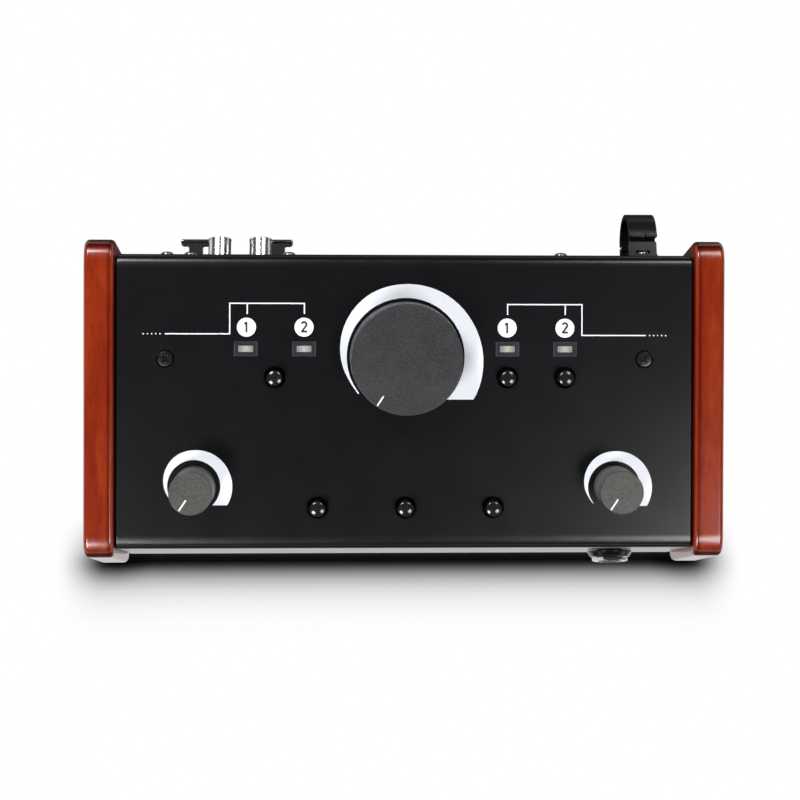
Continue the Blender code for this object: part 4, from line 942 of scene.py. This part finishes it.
PRINT_LOW = -0.00002
PRINT_HIGH = 0.00003
LINE_WIDTH = 0.00042
DOT_RADIUS = 0.00024
BIG_SCALE = dict(centre=(-0.04, 66.73), inner=20.75, cut=15.0,
                 outer=(21.3, 22.9, 24.4, 25.4, 25.6, 26.1, 26.5, 27.3, 28.2))
SMALL_SCALE = dict(inner=9.27, cut=6.65,
                   outer=(9.5, 10.5, 11.5, 12.4, 12.7, 13.1, 13.3, 13.45, 13.45))
SCALE_START = 210
SCALE_STEP = 30
SCALE_TAIL = 8
SCALE_TIP = 0.02
SMALL_SCALES = ((-74.26, 21.23), (73.89, 20.72))
LINES = (
    [(-84.4, 74.75), (-61.8, 74.75), (-61.8, 85.47), (-35.7, 85.47), (-35.7, 81.76)],
    [(-55.68, 85.47), (-55.68, 81.76)],
    [(84.85, 74.4), (62.17, 74.4), (62.17, 85.25), (35.82, 85.25), (35.82, 81.63)],
    [(56.24, 85.25), (56.24, 81.63)],
)
DOTS = ((-91.96, -86.1, 74.75), (86.27, 91.96, 74.4))
DISC_RADIUS = 0.00335
DISCS = ((-55.95, 77.1, 1), (-35.8, 77.13, 2), (35.7, 76.97, 1), (56.13, 76.93, 2))
NUMERAL_WIDTH = 0.00068
NUMERAL_PROUD = 0.00002


def outer_radius(radii, bearing):
    """The scale's outer radius at an angle, by a smooth curve through its named radii."""
    place = (SCALE_START - bearing) / SCALE_STEP
    place = min(max(place, -0.5), len(radii) - 0.5)
    index = min(max(int(place), 0), len(radii) - 2)
    share = place - index
    points = [radii[min(max(index + step, 0), len(radii) - 1)] for step in (-1, 0, 1, 2)]
    slopes = [(points[2] - points[0]) / 2, (points[3] - points[1]) / 2]
    cube, square = share ** 3, share ** 2
    return ((2 * cube - 3 * square + 1) * points[1] + (cube - 2 * square + share) * slopes[0]
            + (3 * square - 2 * cube) * points[2] + (cube - square) * slopes[1])


def crescent(centre, inner, cut, outer):
    """A scale that widens clockwise and ends on a level cut below its centre."""
    inner_side, outer_side = [], []
    first = SCALE_START + SCALE_TAIL
    last = -degrees(asin(cut / inner))
    steps = 150
    for step in range(steps + 1):
        bearing = first + (last - first) * step / steps
        angle = radians(bearing)
        far = max(outer_radius(outer, bearing), inner + SCALE_TIP)
        if sin(angle) < 0 and bearing < 0:
            far = min(far, cut / -sin(angle))
        inner_side.append((inner * cos(angle), inner * sin(angle)))
        outer_side.append((far * cos(angle), far * sin(angle)))
    bm = bmesh.new()
    rows = []
    for level in (PRINT_LOW, PRINT_HIGH):
        for side in (inner_side, outer_side):
            rows.append([bm.verts.new(((centre[0] + x) * MM, (centre[1] + y) * MM, level))
                         for x, y in side])
    low_in, low_out, high_in, high_out = rows
    for first, second in ((low_in, low_out), (high_out, high_in), (low_out, high_out),
                          (high_in, low_in)):
        for index in range(steps):
            bm.faces.new((first[index], second[index], second[index + 1], first[index + 1]))
    for index in (0, steps):
        bm.faces.new((low_in[index], low_out[index], high_out[index], high_in[index]))
    bmesh.ops.remove_doubles(bm, verts=bm.verts, dist=MERGE)
    bmesh.ops.recalc_face_normals(bm, faces=bm.faces)
    return bm


def line(points):
    """A printed line through points in millimetres."""
    return stroke([(x * MM, y * MM) for x, y in points], LINE_WIDTH, PRINT_LOW, PRINT_HIGH)


def dots(start, end, row, count=5):
    shapes = []
    for index in range(count):
        x = (start + (end - start) * index / (count - 1)) * MM
        shapes.append(prism(circle(DOT_RADIUS, 12, (x, row * MM)), PRINT_LOW, PRINT_HIGH))
    return shapes


def make_printing():
    shapes = [crescent(**BIG_SCALE)]
    shapes += [crescent(centre=centre, **SMALL_SCALE) for centre in SMALL_SCALES]
    shapes += [line(points) for points in LINES]
    for row_of_dots in DOTS:
        shapes += dots(*row_of_dots)
    numerals = []
    for x, row, number in DISCS:
        place = Matrix.Translation((x * MM, row * MM, 0))
        disc = prism(circle(DISC_RADIUS, ROUND), PRINT_LOW, PRINT_HIGH)
        shapes.append(placed(disc, place))
        numerals.append(placed(numeral(number), place))
    piece("panel_printing", placed(merged(shapes), PANEL), "print")
    piece("panel_numerals", placed(merged(numerals), PANEL), "numeral")


def numeral(number):
    """A plain 1 or 2, from strokes of one width."""
    if number == 1:
        paths = [[(-0.75, 1.10), (-0.05, 1.68)], [(0.0, 1.85), (0.0, -1.85)]]
    else:
        top = arc(0.85, radians(165), radians(-30), 12, (0, 0.95))
        paths = [top + [(-0.80, -1.60)], [(-1.05, -1.53), (1.1, -1.53)]]
    shapes = []
    for path in paths:
        scaled = [(x * MM, y * MM) for x, y in path]
        shapes.append(stroke(scaled, NUMERAL_WIDTH, PRINT_LOW, PRINT_HIGH + NUMERAL_PROUD))
    return merged(shapes)


# Rear wall

def socket_body():
    """Flange and round body in one, around the frame's z."""
    outline = rounded(rectangle(FLANGE_WIDTH, FLANGE_HEIGHT), FLANGE_CORNER, 8)
    flange = prism(outline, GAP, GAP + FLANGE_THICK, FLANGE_ARRIS, 3)
    middle = GAP + FLANGE_THICK / 2
    barrel = lathe([(0, middle), (SOCKET_RADIUS, middle), (SOCKET_RADIUS, -SOCKET_DEPTH),
                    (0, -SOCKET_DEPTH)], SOCKET_STEPS)
    return carved(flange, barrel, "UNION")


def flange_screws(name, x):
    """Two screws in opposite corners of the flange."""
    for index, side in enumerate((-1, 1)):
        aside = side * (FLANGE_WIDTH / 2 - FLANGE_HOLE_INSET)
        above = -side * (FLANGE_HEIGHT / 2 - FLANGE_HOLE_INSET)
        turn = FLANGE_SCREW_TURN + FLANGE_SCREW_TWIST * index
        place = at(REAR, aside - x, SOCKET_ROW + above, FLANGE_THICK, turn)
        piece("%s_screw_%d" % (name, index + 1), placed(pan_screw(**FLANGE_SCREW), place), "oxide")


def three_around(radius, start, z=0.0):
    """Matrices of three places on a circle."""
    angles = [start + 2 * pi * index / 3 for index in range(3)]
    return [Matrix.Translation((radius * cos(angle), radius * sin(angle), z))
            for angle in angles]


def make_combos():
    """Combined inputs: a ring groove, a bore with three contact holes, and the latch's slot."""
    face = GAP + FLANGE_THICK
    half = LATCH_NECK / 2 + RUN
    thick = LATCH_THICK / 2 + RUN
    inner, outer = GROOVE
    groove = [(inner, face + OVERRUN), (outer, face + OVERRUN), (outer, face - GROOVE_DEPTH),
              (inner, face - GROOVE_DEPTH)]
    for side, x in COMBOS.items():
        tools = [lathe(groove, SOCKET_STEPS, ring=True)]
        tools.append(placed(hole_tool(*COMBO_BORE), raised(face)))
        tools += [placed(hole_tool(*CONTACT_HOLE), spot)
                  for spot in three_around(CONTACT_CIRCLE, -pi / 2, face)]
        tools.append(box((-half, LATCH_ROW - thick, face - LATCH_ROOT - RUN),
                         (half, LATCH_ROW + thick, face + OVERRUN)))
        shape = carved(socket_body(), merged(tools))
        name = "combo_socket_" + side
        piece(name + "_shell", placed(shape, at(REAR, -x, SOCKET_ROW)), "socket",
              nodes=[name])
        flange_screws("combo_" + side, x)
        make_latch(side, x)


def make_latch(side, x):
    """A pressed T-shaped tab: its head ends in a small upturned lip."""
    neck, head = LATCH_NECK / 2, LATCH_HEAD / 2
    shoulder = LATCH_REACH - LATCH_HEAD_DEPTH
    outline = [(-neck, -LATCH_ROOT), (neck, -LATCH_ROOT)]
    outline += rounded([(neck, -LATCH_ROOT), (neck, shoulder), (head, shoulder),
                        (head, LATCH_REACH), (-head, LATCH_REACH), (-head, shoulder),
                        (-neck, shoulder), (-neck, -LATCH_ROOT)],
                       [0, LATCH_CROOK, *[LATCH_CORNER] * 4, LATCH_CROOK, 0], 8,
                       closed=False)[1:-1]
    shape = prism(outline, -LATCH_THICK / 2, LATCH_THICK / 2, LATCH_ARRIS, 4)
    ends = arc(LATCH_LIP, pi / 2, 0, 8, (0, head - LATCH_LIP))
    roll = lathe(ends + [(x, -z) for x, z in ends[::-1]], 32)
    roll = placed(roll, Matrix.Translation((0, LATCH_REACH - LATCH_LIP, LATCH_LIP_RISE))
                  @ Matrix.Rotation(pi / 2, 4, "Y"))
    shape = carved(shape, roll, "UNION")
    for vert in shape.verts:
        vert.co.z += LATCH_RAKE * max(vert.co.y, -LATCH_ROOT)
    place = Matrix.Translation((x, WALL_Y + GAP + FLANGE_THICK, SOCKET_ROW + LATCH_ROW))
    piece("latch_tab_" + side, placed(shape, place), "chrome",
          side + "_latch", ["latch_" + side])


def make_outputs():
    """Balanced outputs: a cup with a key in its floor, and three pins."""
    face = GAP + FLANGE_THICK
    floor = face - CUP_DEPTH
    tip = floor + PIN_LENGTH
    cup = [(0, face + OVERRUN), (CUP_RADIUS + CUP_FLARE, face + OVERRUN),
           (CUP_RADIUS, face - CUP_CHAMFER), (CUP_RADIUS, floor), (0, floor)]
    pin = [(0, tip)] + arc(PIN_ROUND, pi / 2, 0, 5, (PIN_RADIUS - PIN_ROUND, tip - PIN_ROUND))
    pin += [(PIN_RADIUS, floor - RUN), (0, floor - RUN)]
    for index, x in enumerate(OUTPUTS):
        shape = carved(socket_body(), lathe(cup, SOCKET_STEPS))
        key = box((-KEY_HALF, KEY_ROWS[0], floor - 0.0005), (KEY_HALF, KEY_ROWS[1], face - 0.001),
                  0.0002)
        shape = carved(shape, key, "UNION")
        name = "output_socket_%d" % (index + 1)
        where = at(REAR, -x, SOCKET_ROW)
        piece(name + "_shell", placed(shape, where), "socket", nodes=[name])
        pins = [placed(lathe(pin, 24), spot) for spot in three_around(PIN_CIRCLE, pi / 2)]
        piece("output_pins_%d" % (index + 1), placed(merged(pins), where), "pin")
        flange_screws("output_%d" % (index + 1), x)


def make_rcas():
    """Phono sockets: a sleeve that widens to a bead at its mouth, and a coloured core."""
    dress(["rca_block"], "socket")
    inner = RCA_RADIUS - RCA_WALL
    waist = RCA_RADIUS - RCA_WAIST
    foot = RCA_COLLAR + GAP
    face = RCA_REACH - RCA_CORE_SINK
    sleeve = rounded([(waist, foot), (waist, RCA_REACH - RCA_BEAD - RCA_ROUND),
                      (RCA_RADIUS, RCA_REACH - RCA_BEAD), (RCA_RADIUS, RCA_REACH),
                      (inner, RCA_REACH), (inner, foot)],
                     [0, RCA_ROUND, RCA_ROUND, 0.00019, 0.00019, 0], 5)
    skin, lining = inner - CORE_PLAY, RCA_HOLE - CORE_SKIN
    core = [(lining, face + CORE_SKIN), (skin, face + CORE_SKIN), (skin, foot),
            (skin - 0.0001, foot), (skin - 0.0001, face - 0.0002),
            (RCA_HOLE + 0.00004, face - 0.0002), (RCA_HOLE + 0.00004, face - CORE_DEPTH),
            (lining, face - CORE_DEPTH)]
    for side, x in RCAS.items():
        where = at(REAR, -x, RCA_ROW)
        look = "white_core" if side == "left" else "red_core"
        piece("rca_sleeve_" + side, placed(lathe(sleeve, FINE, ring=True), where), "sleeve",
              nodes=["rca_shell_" + side])
        piece("rca_core_" + side, placed(lathe(core, ROUND, ring=True), where), look)


def make_dc_inlet():
    dress(["dc_inlet"], "socket")
    where = at(REAR, -DC_COLUMN, DC_ROW)
    mouth = lathe(rounded(DC_MOUTH, 0.0001, 3), ROUND, ring=True)
    piece("dc_pin", placed(lathe(DC_PIN, SMALL), where), "pin")
    piece("dc_mouth", placed(mouth, where), "socket")


# Cable clamp

def clamp_matrix(y, z):
    """Puts an outline in world y, z on the clamp's column; it is extruded along X."""
    return Matrix.Translation((CLAMP_COLUMN, y, z)) @ SIDEWAYS


def clamp_screw_place():
    return -CLAMP_COLUMN, CLAMP_ROW + CLAMP_OUTER - CLAMP_SCREW_RADIUS


def make_clamp():
    piece("clamp_bracket", clamp_bracket(), "clamp", nodes=["clamp_base"])
    piece("clamp_loop_strap", clamp_strap(), "clamp", "clamp_loop",
          ["clamp_strap"])
    screw = pan_screw(CLAMP_FOOT + SHEET + 2 * GAP + RUN, CLAMP_SCREW_RADIUS)
    place = at(REAR, *clamp_screw_place(), GAP + CLAMP_FOOT, CLAMP_SCREW_TURN)
    piece("clamp_screw_bright", placed(screw, place), "dull",
          nodes=["clamp_screw"])


def clamp_bracket():
    """A foot with half a ring, and a tongue at each end that reaches inside the strap."""
    half = CLAMP_WIDTH / 2
    ring = (CLAMP_STANDOFF, 0)
    shoulder = CLAMP_INNER * sin(CLAMP_SPLIT) + CLAMP_RIM
    foot = GAP + CLAMP_FOOT
    outline = [(GAP, -CLAMP_OUTER), (CLAMP_STANDOFF, -CLAMP_OUTER)]
    outline += arc(CLAMP_INNER, CLAMP_HINGE, CLAMP_SPLIT, 48, ring)
    outline += [(outline[-1][0], shoulder), (foot, shoulder), (foot, CLAMP_OUTER),
                (GAP, CLAMP_OUTER)]
    base = placed(prism(outline, -half, half, CLAMP_ARRIS, 2), clamp_matrix(WALL_Y, CLAMP_ROW))
    notch = CLAMP_SCREW_RADIUS + RUN
    top = foot + HEAD_HEIGHT + GAP + RUN
    hole = lathe([(0, top), (notch, top), (notch, foot), (SCREW_HOLE, foot),
                  (SCREW_HOLE, -OVERRUN), (0, -OVERRUN)], 48)
    base = carved(base, placed(hole, at(REAR, *clamp_screw_place())))
    for split, away in ((CLAMP_SPLIT, 1), (CLAMP_HINGE, -1)):
        near, far = split + away * TONGUE_START, split + away * TONGUE_END
        tip = split - away * TONGUE_REACH
        outline = (arc(CLAMP_INNER - GAP, tip, near, 12, ring)
                   + arc(CLAMP_INNER + GAP, near, far, 6, ring)
                   + arc(CLAMP_INNER - TONGUE_THICK, far, tip, 12, ring))
        tongue = prism(outline, TONGUE_INSET - half, half - TONGUE_INSET)
        base = carved(base, placed(tongue, clamp_matrix(WALL_Y, CLAMP_ROW)), "UNION")
    return base


def clamp_strap():
    """The strap, hinged below the bracket's ring, with two hooked lugs at its free end."""
    half = CLAMP_WIDTH / 2
    slack = 2 * GAP / (CLAMP_INNER + CLAMP_OUTER)
    start = -pi / 2 + 2 * slack
    end = CLAMP_SPLIT - 2 * slack - CLAMP_MOUTH
    centre = (0, CLAMP_OUTER + GAP)
    outline = arc(CLAMP_OUTER, start, end, 64, centre) + arc(CLAMP_INNER, end, start, 64, centre)
    strap = prism(outline, -half, half, CLAMP_ARRIS, 3)
    first = end - LUG_SPAN
    hook = arc(CLAMP_OUTER - CLAMP_ARRIS, first, end, 10, centre)
    hook += arc(CLAMP_OUTER + CLAMP_HOOK, end, first + LUG_RAMP, 8, centre)
    for low, high in ((LUG_INSET - half, -LUG_SLIT), (LUG_SLIT, half - LUG_INSET)):
        strap = carved(strap, prism(hook, low, high, CLAMP_ARRIS / 2, 2), "UNION")
    return placed(strap, clamp_matrix(WALL_Y + CLAMP_STANDOFF, CLAMP_ROW - centre[1]))


# Headphone jack

def make_phones_jack():
    where = at(FRONT, PHONES_COLUMN, PHONES_ROW)
    bore = PHONES_BUSHING + GAP
    top = GAP + BEZEL_THICK
    bezel = rounded([(bore, top), (BEZEL_RADIUS * BEZEL_CROWN, top),
                     (BEZEL_RADIUS, GAP + BEZEL_EDGE), (BEZEL_RADIUS, GAP), (bore, GAP)],
                    [0.0001, 0.0005, 0.0002, 0, 0], 4)
    piece("jack_bezel_ring", placed(lathe(bezel, FINE, ring=True), where), "bezel",
          nodes=["jack_bezel"])
    piece("jack_hexagon", placed(jack_nut(bore, top + GAP), where), "nut",
          nodes=["jack_nut"])
    body, ferrule = jack_body()
    piece("jack_body", placed(body, where), "socket", nodes=["phones_jack"])
    piece("jack_ferrule", placed(ferrule, where), "dull")


def jack_nut(bore, low):
    """A hexagon nut whose upper corners are turned off."""
    high = low + NUT_THICK
    over, beyond = high + 0.0002, NUT_RADIUS + 2 * OVERRUN
    bevel = lathe([(NUT_RADIUS - NUT_CHAMFER, over), (beyond, over),
                   (beyond, high - NUT_CHAMFER)], FINE, ring=True)
    nut = carved(prism(circle(NUT_RADIUS, 6), low, high), bevel)
    return carved(nut, placed(hole_tool(bore, 0.0002, 0.004), raised(high)))


def jack_body():
    """The jack's block with its bored bushing, and the bushing's metal lining."""
    width, height, depth = PHONES_BODY
    inside = -SHEET - GAP
    root = inside + 0.0001
    tip = PHONES_REACH
    sunk = tip - FERRULE_SINK
    skin = PHONES_BUSHING - FERRULE_WALL
    block = box((-width / 2, -height / 2, inside - depth), (width / 2, height / 2, inside),
                FERRULE_WALL)
    bushing = lathe([(0, inside - depth / 2), (skin, inside - depth / 2), (skin, sunk),
                     (0, sunk)], ROUND)
    bore = placed(hole_tool(PHONES_BORE, 0.0002, 0.0200), raised(sunk))
    ferrule = rounded([(PHONES_BORE, tip), (PHONES_BORE, sunk), (skin, sunk), (skin, root),
                       (PHONES_BUSHING, root), (PHONES_BUSHING, tip)],
                      [0.0001, 0, 0, 0, 0, 0.0005], 5)
    return (carved(carved(block, bushing, "UNION"), bore), lathe(ferrule, ROUND, ring=True))


def dress_hidden():
    dress(["chassis"], "chassis")
    dress(["control_board", "main_board"], "board")
    dress(["ribbon_cable"], "ribbon")
    for name in KNOB_SIZES:
        dress([name + "_pot"], "steel")
        dress([name + "_shaft"], "shaft")
    dress([name + "_switch" for name in BUTTONS], "switch")
    feet = ["foot_" + place for place in ("front_left", "rear_left", "front_right", "rear_right")]
    dress(feet, "rubber")


# Stage, light and camera

FLOOR_HALF = 3.0
FLOOR_COLOUR = (0.6, 0.6, 0.6, 1)
CONTACT = 0.010
CONTACT_STOPS = ((0.56, 0.05), (0.70, 0.45), (0.85, 0.85), (1.0, 1.0))
SHADOW_REACH = (-0.0425, -0.0885)
SHADOW_STOPS = ((0.0, 0.0), (0.174, 0.40), (0.293, 0.78), (0.337, 0.975), (0.370, 0.993),
                (0.402, 0.955), (0.435, 0.85), (0.467, 0.73), (0.530, 0.50), (0.596, 0.30),
                (0.661, 0.18), (0.724, 0.11), (0.787, 0.06), (0.852, 0.03), (1.0, 0.0))
SHADOW_SIDES = (0.111, 0.1305)
SHADOW_CHEEKS = (0.094, 0.106)
CHEEK_SHADOW = 0.0007
POOL_MIDDLE = -0.035
POOL = (0.037, 0.055)
POOL_EDGE = 0.08
POOL_SIDES = (0.13, 0.21)


def make_floor():
    """A plain white floor. The camera finds it white, apart from the object's soft contact shadow,
    painted into its glow: close to the object from occlusion, and in front by place, reaching
    farthest in front. Mirror images of it carry a painted pool of light, white beside the object
    and close in front of it, and dim beyond that; other rays find it diffuse and pale."""
    made = bpy.data.materials.new("floor_white")
    made.use_nodes = True
    made.node_tree.nodes.clear()
    nodes = Nodes(made.node_tree)
    spot = nodes.parts(nodes.node("TexCoord").outputs["Object"])
    # Painted shade from occlusion: the floor's glow darkens where the object is near.
    open_share = nodes.node("AmbientOcclusion", {"Distance": CONTACT}, samples=16)
    contact = nodes.ramp(open_share.outputs["AO"], CONTACT_STOPS)
    aside = nodes.maths("ABSOLUTE", spot["X"])
    # Painted shadow: a soft shadow laid on the floor by place, in front of the object and reaching
    # farther in front of the cheeks.
    prouder = nodes.scaled(aside, 0.0, CHEEK_SHADOW, *SHADOW_CHEEKS)
    reach = nodes.maths("ADD", spot["Y"], prouder)
    front = nodes.ramp(nodes.scaled(reach, 0.0, 1.0, *SHADOW_REACH), SHADOW_STOPS)
    inside = nodes.scaled(aside, 1.0, 0.0, *SHADOW_SIDES, "SMOOTHSTEP")
    light = nodes.maths("SUBTRACT", 1.0, nodes.maths("MULTIPLY", front, inside))
    shade = nodes.maths("MULTIPLY", contact, light)
    # Painted pool of light for reflections: white near the object and beside it, dim away from it.
    away = nodes.maths("ABSOLUTE", nodes.maths("SUBTRACT", spot["Y"], POOL_MIDDLE))
    mirrored = nodes.maths("MAXIMUM", nodes.scaled(away, 1.0, POOL_EDGE, *POOL, "SMOOTHSTEP"),
                           nodes.scaled(aside, 0.0, 1.0, *POOL_SIDES, "SMOOTHSTEP"))
    camera = nodes.node("LightPath").outputs["Is Camera Ray"]
    level = nodes.node("Mix", {"Factor": camera, "A": mirrored, "B": shade}, data_type="FLOAT")
    glow = nodes.node("Emission", {"Strength": level.outputs["Result"]})
    diffuse = nodes.node("BsdfDiffuse", {"Color": FLOOR_COLOUR})
    mix = nodes.node("MixShader", {"Fac": seen_rays(nodes), 1: diffuse.outputs["BSDF"],
                                   2: glow.outputs["Emission"]})
    nodes.node("OutputMaterial", {"Surface": mix.outputs["Shader"]})

    bm = bmesh.new()
    bmesh.ops.create_grid(bm, x_segments=1, y_segments=1, size=FLOOR_HALF)
    mesh = mesh_of("floor", bm)
    mesh.materials.append(made)
    shown("floor", mesh)


def seen_rays(nodes):
    """1 for camera, glossy and transmission rays, else 0."""
    path = nodes.node("LightPath").outputs
    total = path["Is Camera Ray"]
    for name in ("Is Glossy Ray", "Is Transmission Ray"):
        total = nodes.maths("MAXIMUM", total, path[name])
    return total


HORIZON = 0.95
ZENITH = 0.04
WORLD_FADE = (0.05, 0.16)


def make_world():
    """A studio that is white at the horizon, behind the floor, and dim overhead."""
    world = bpy.data.worlds.new("studio")
    bpy.context.scene.world = world
    world.use_nodes = True
    nodes = Nodes(world.node_tree)
    height = nodes.parts(nodes.node("TexCoord").outputs["Generated"])["Z"]
    background = world.node_tree.nodes["Background"]
    background.inputs["Color"].default_value = (1, 1, 1, 1)
    nodes.link(nodes.scaled(height, HORIZON, ZENITH, *WORLD_FADE, "SMOOTHSTEP"),
               background.inputs["Strength"])


SOFTBOXES = {
    "rear_right": (0.36, 0.46, 0.60, 0.28, 0.24, 1.65),
    "rear_left": (-0.36, 0.47, 0.57, 0.28, 0.24, 4.35),
    "front_left": (-0.40, -0.45, 0.66, 0.28, 0.24, 4.7),
    "front_right": (0.42, -0.35, 0.72, 0.30, 0.30, 3.2),
}


def make_softboxes():
    """Softboxes round the camera: place from the panel's middle, width, depth and watts."""
    aim = Vector((0, PANEL_LENGTH / 2, 0))
    for name, (x, y, z, width, depth, power) in SOFTBOXES.items():
        lamp = bpy.data.lights.new("softbox_" + name, "AREA")
        lamp.shape = "RECTANGLE"
        lamp.size = width
        lamp.size_y = depth
        lamp.energy = power
        made = shown(lamp.name, lamp)
        offset = Vector((x, y, z))
        turn = offset.to_track_quat("Z", "Y").to_matrix().to_4x4()
        made.matrix_world = PANEL @ Matrix.Translation(aim + offset) @ turn
        made.visible_camera = False


# The camera was fitted to the panel's corners, the cheeks and the knobs in the photograph
CAMERA_PLACE = Vector((-0.02205501, 0.10008864, 0.55019265))
CAMERA_YAW = 0.03562
CAMERA_PITCH = 0.01083
CAMERA_ROLL = -0.00334
CAMERA_FOCAL = 1566.116
CAMERA_SHIFT = (0.0010, -0.1512)
FRAME_WIDTH = 800


def make_camera():
    data = bpy.data.cameras.new("camera")
    data.sensor_width = 36
    data.lens = CAMERA_FOCAL / FRAME_WIDTH * data.sensor_width
    data.shift_x, data.shift_y = CAMERA_SHIFT
    data.clip_start = 0.01
    camera = shown("camera", data)
    turn = (Matrix.Rotation(CAMERA_ROLL, 4, "Z") @ Matrix.Rotation(CAMERA_PITCH, 4, "X")
            @ Matrix.Rotation(CAMERA_YAW, 4, "Y"))
    camera.matrix_world = PANEL @ Matrix.Translation(CAMERA_PLACE) @ turn.transposed()
    bpy.context.scene.camera = camera


def main():
    bpy.context.scene.view_settings.view_transform = "Standard"
    make_camera()
    make_world()
    make_softboxes()
    make_floor()
    make_cheeks()
    make_cover()
    make_screws()
    make_knobs()
    make_caps()
    make_lamps()
    make_printing()
    make_combos()
    make_outputs()
    make_rcas()
    make_dc_inlet()
    make_clamp()
    make_phones_jack()
    dress_hidden()


main()
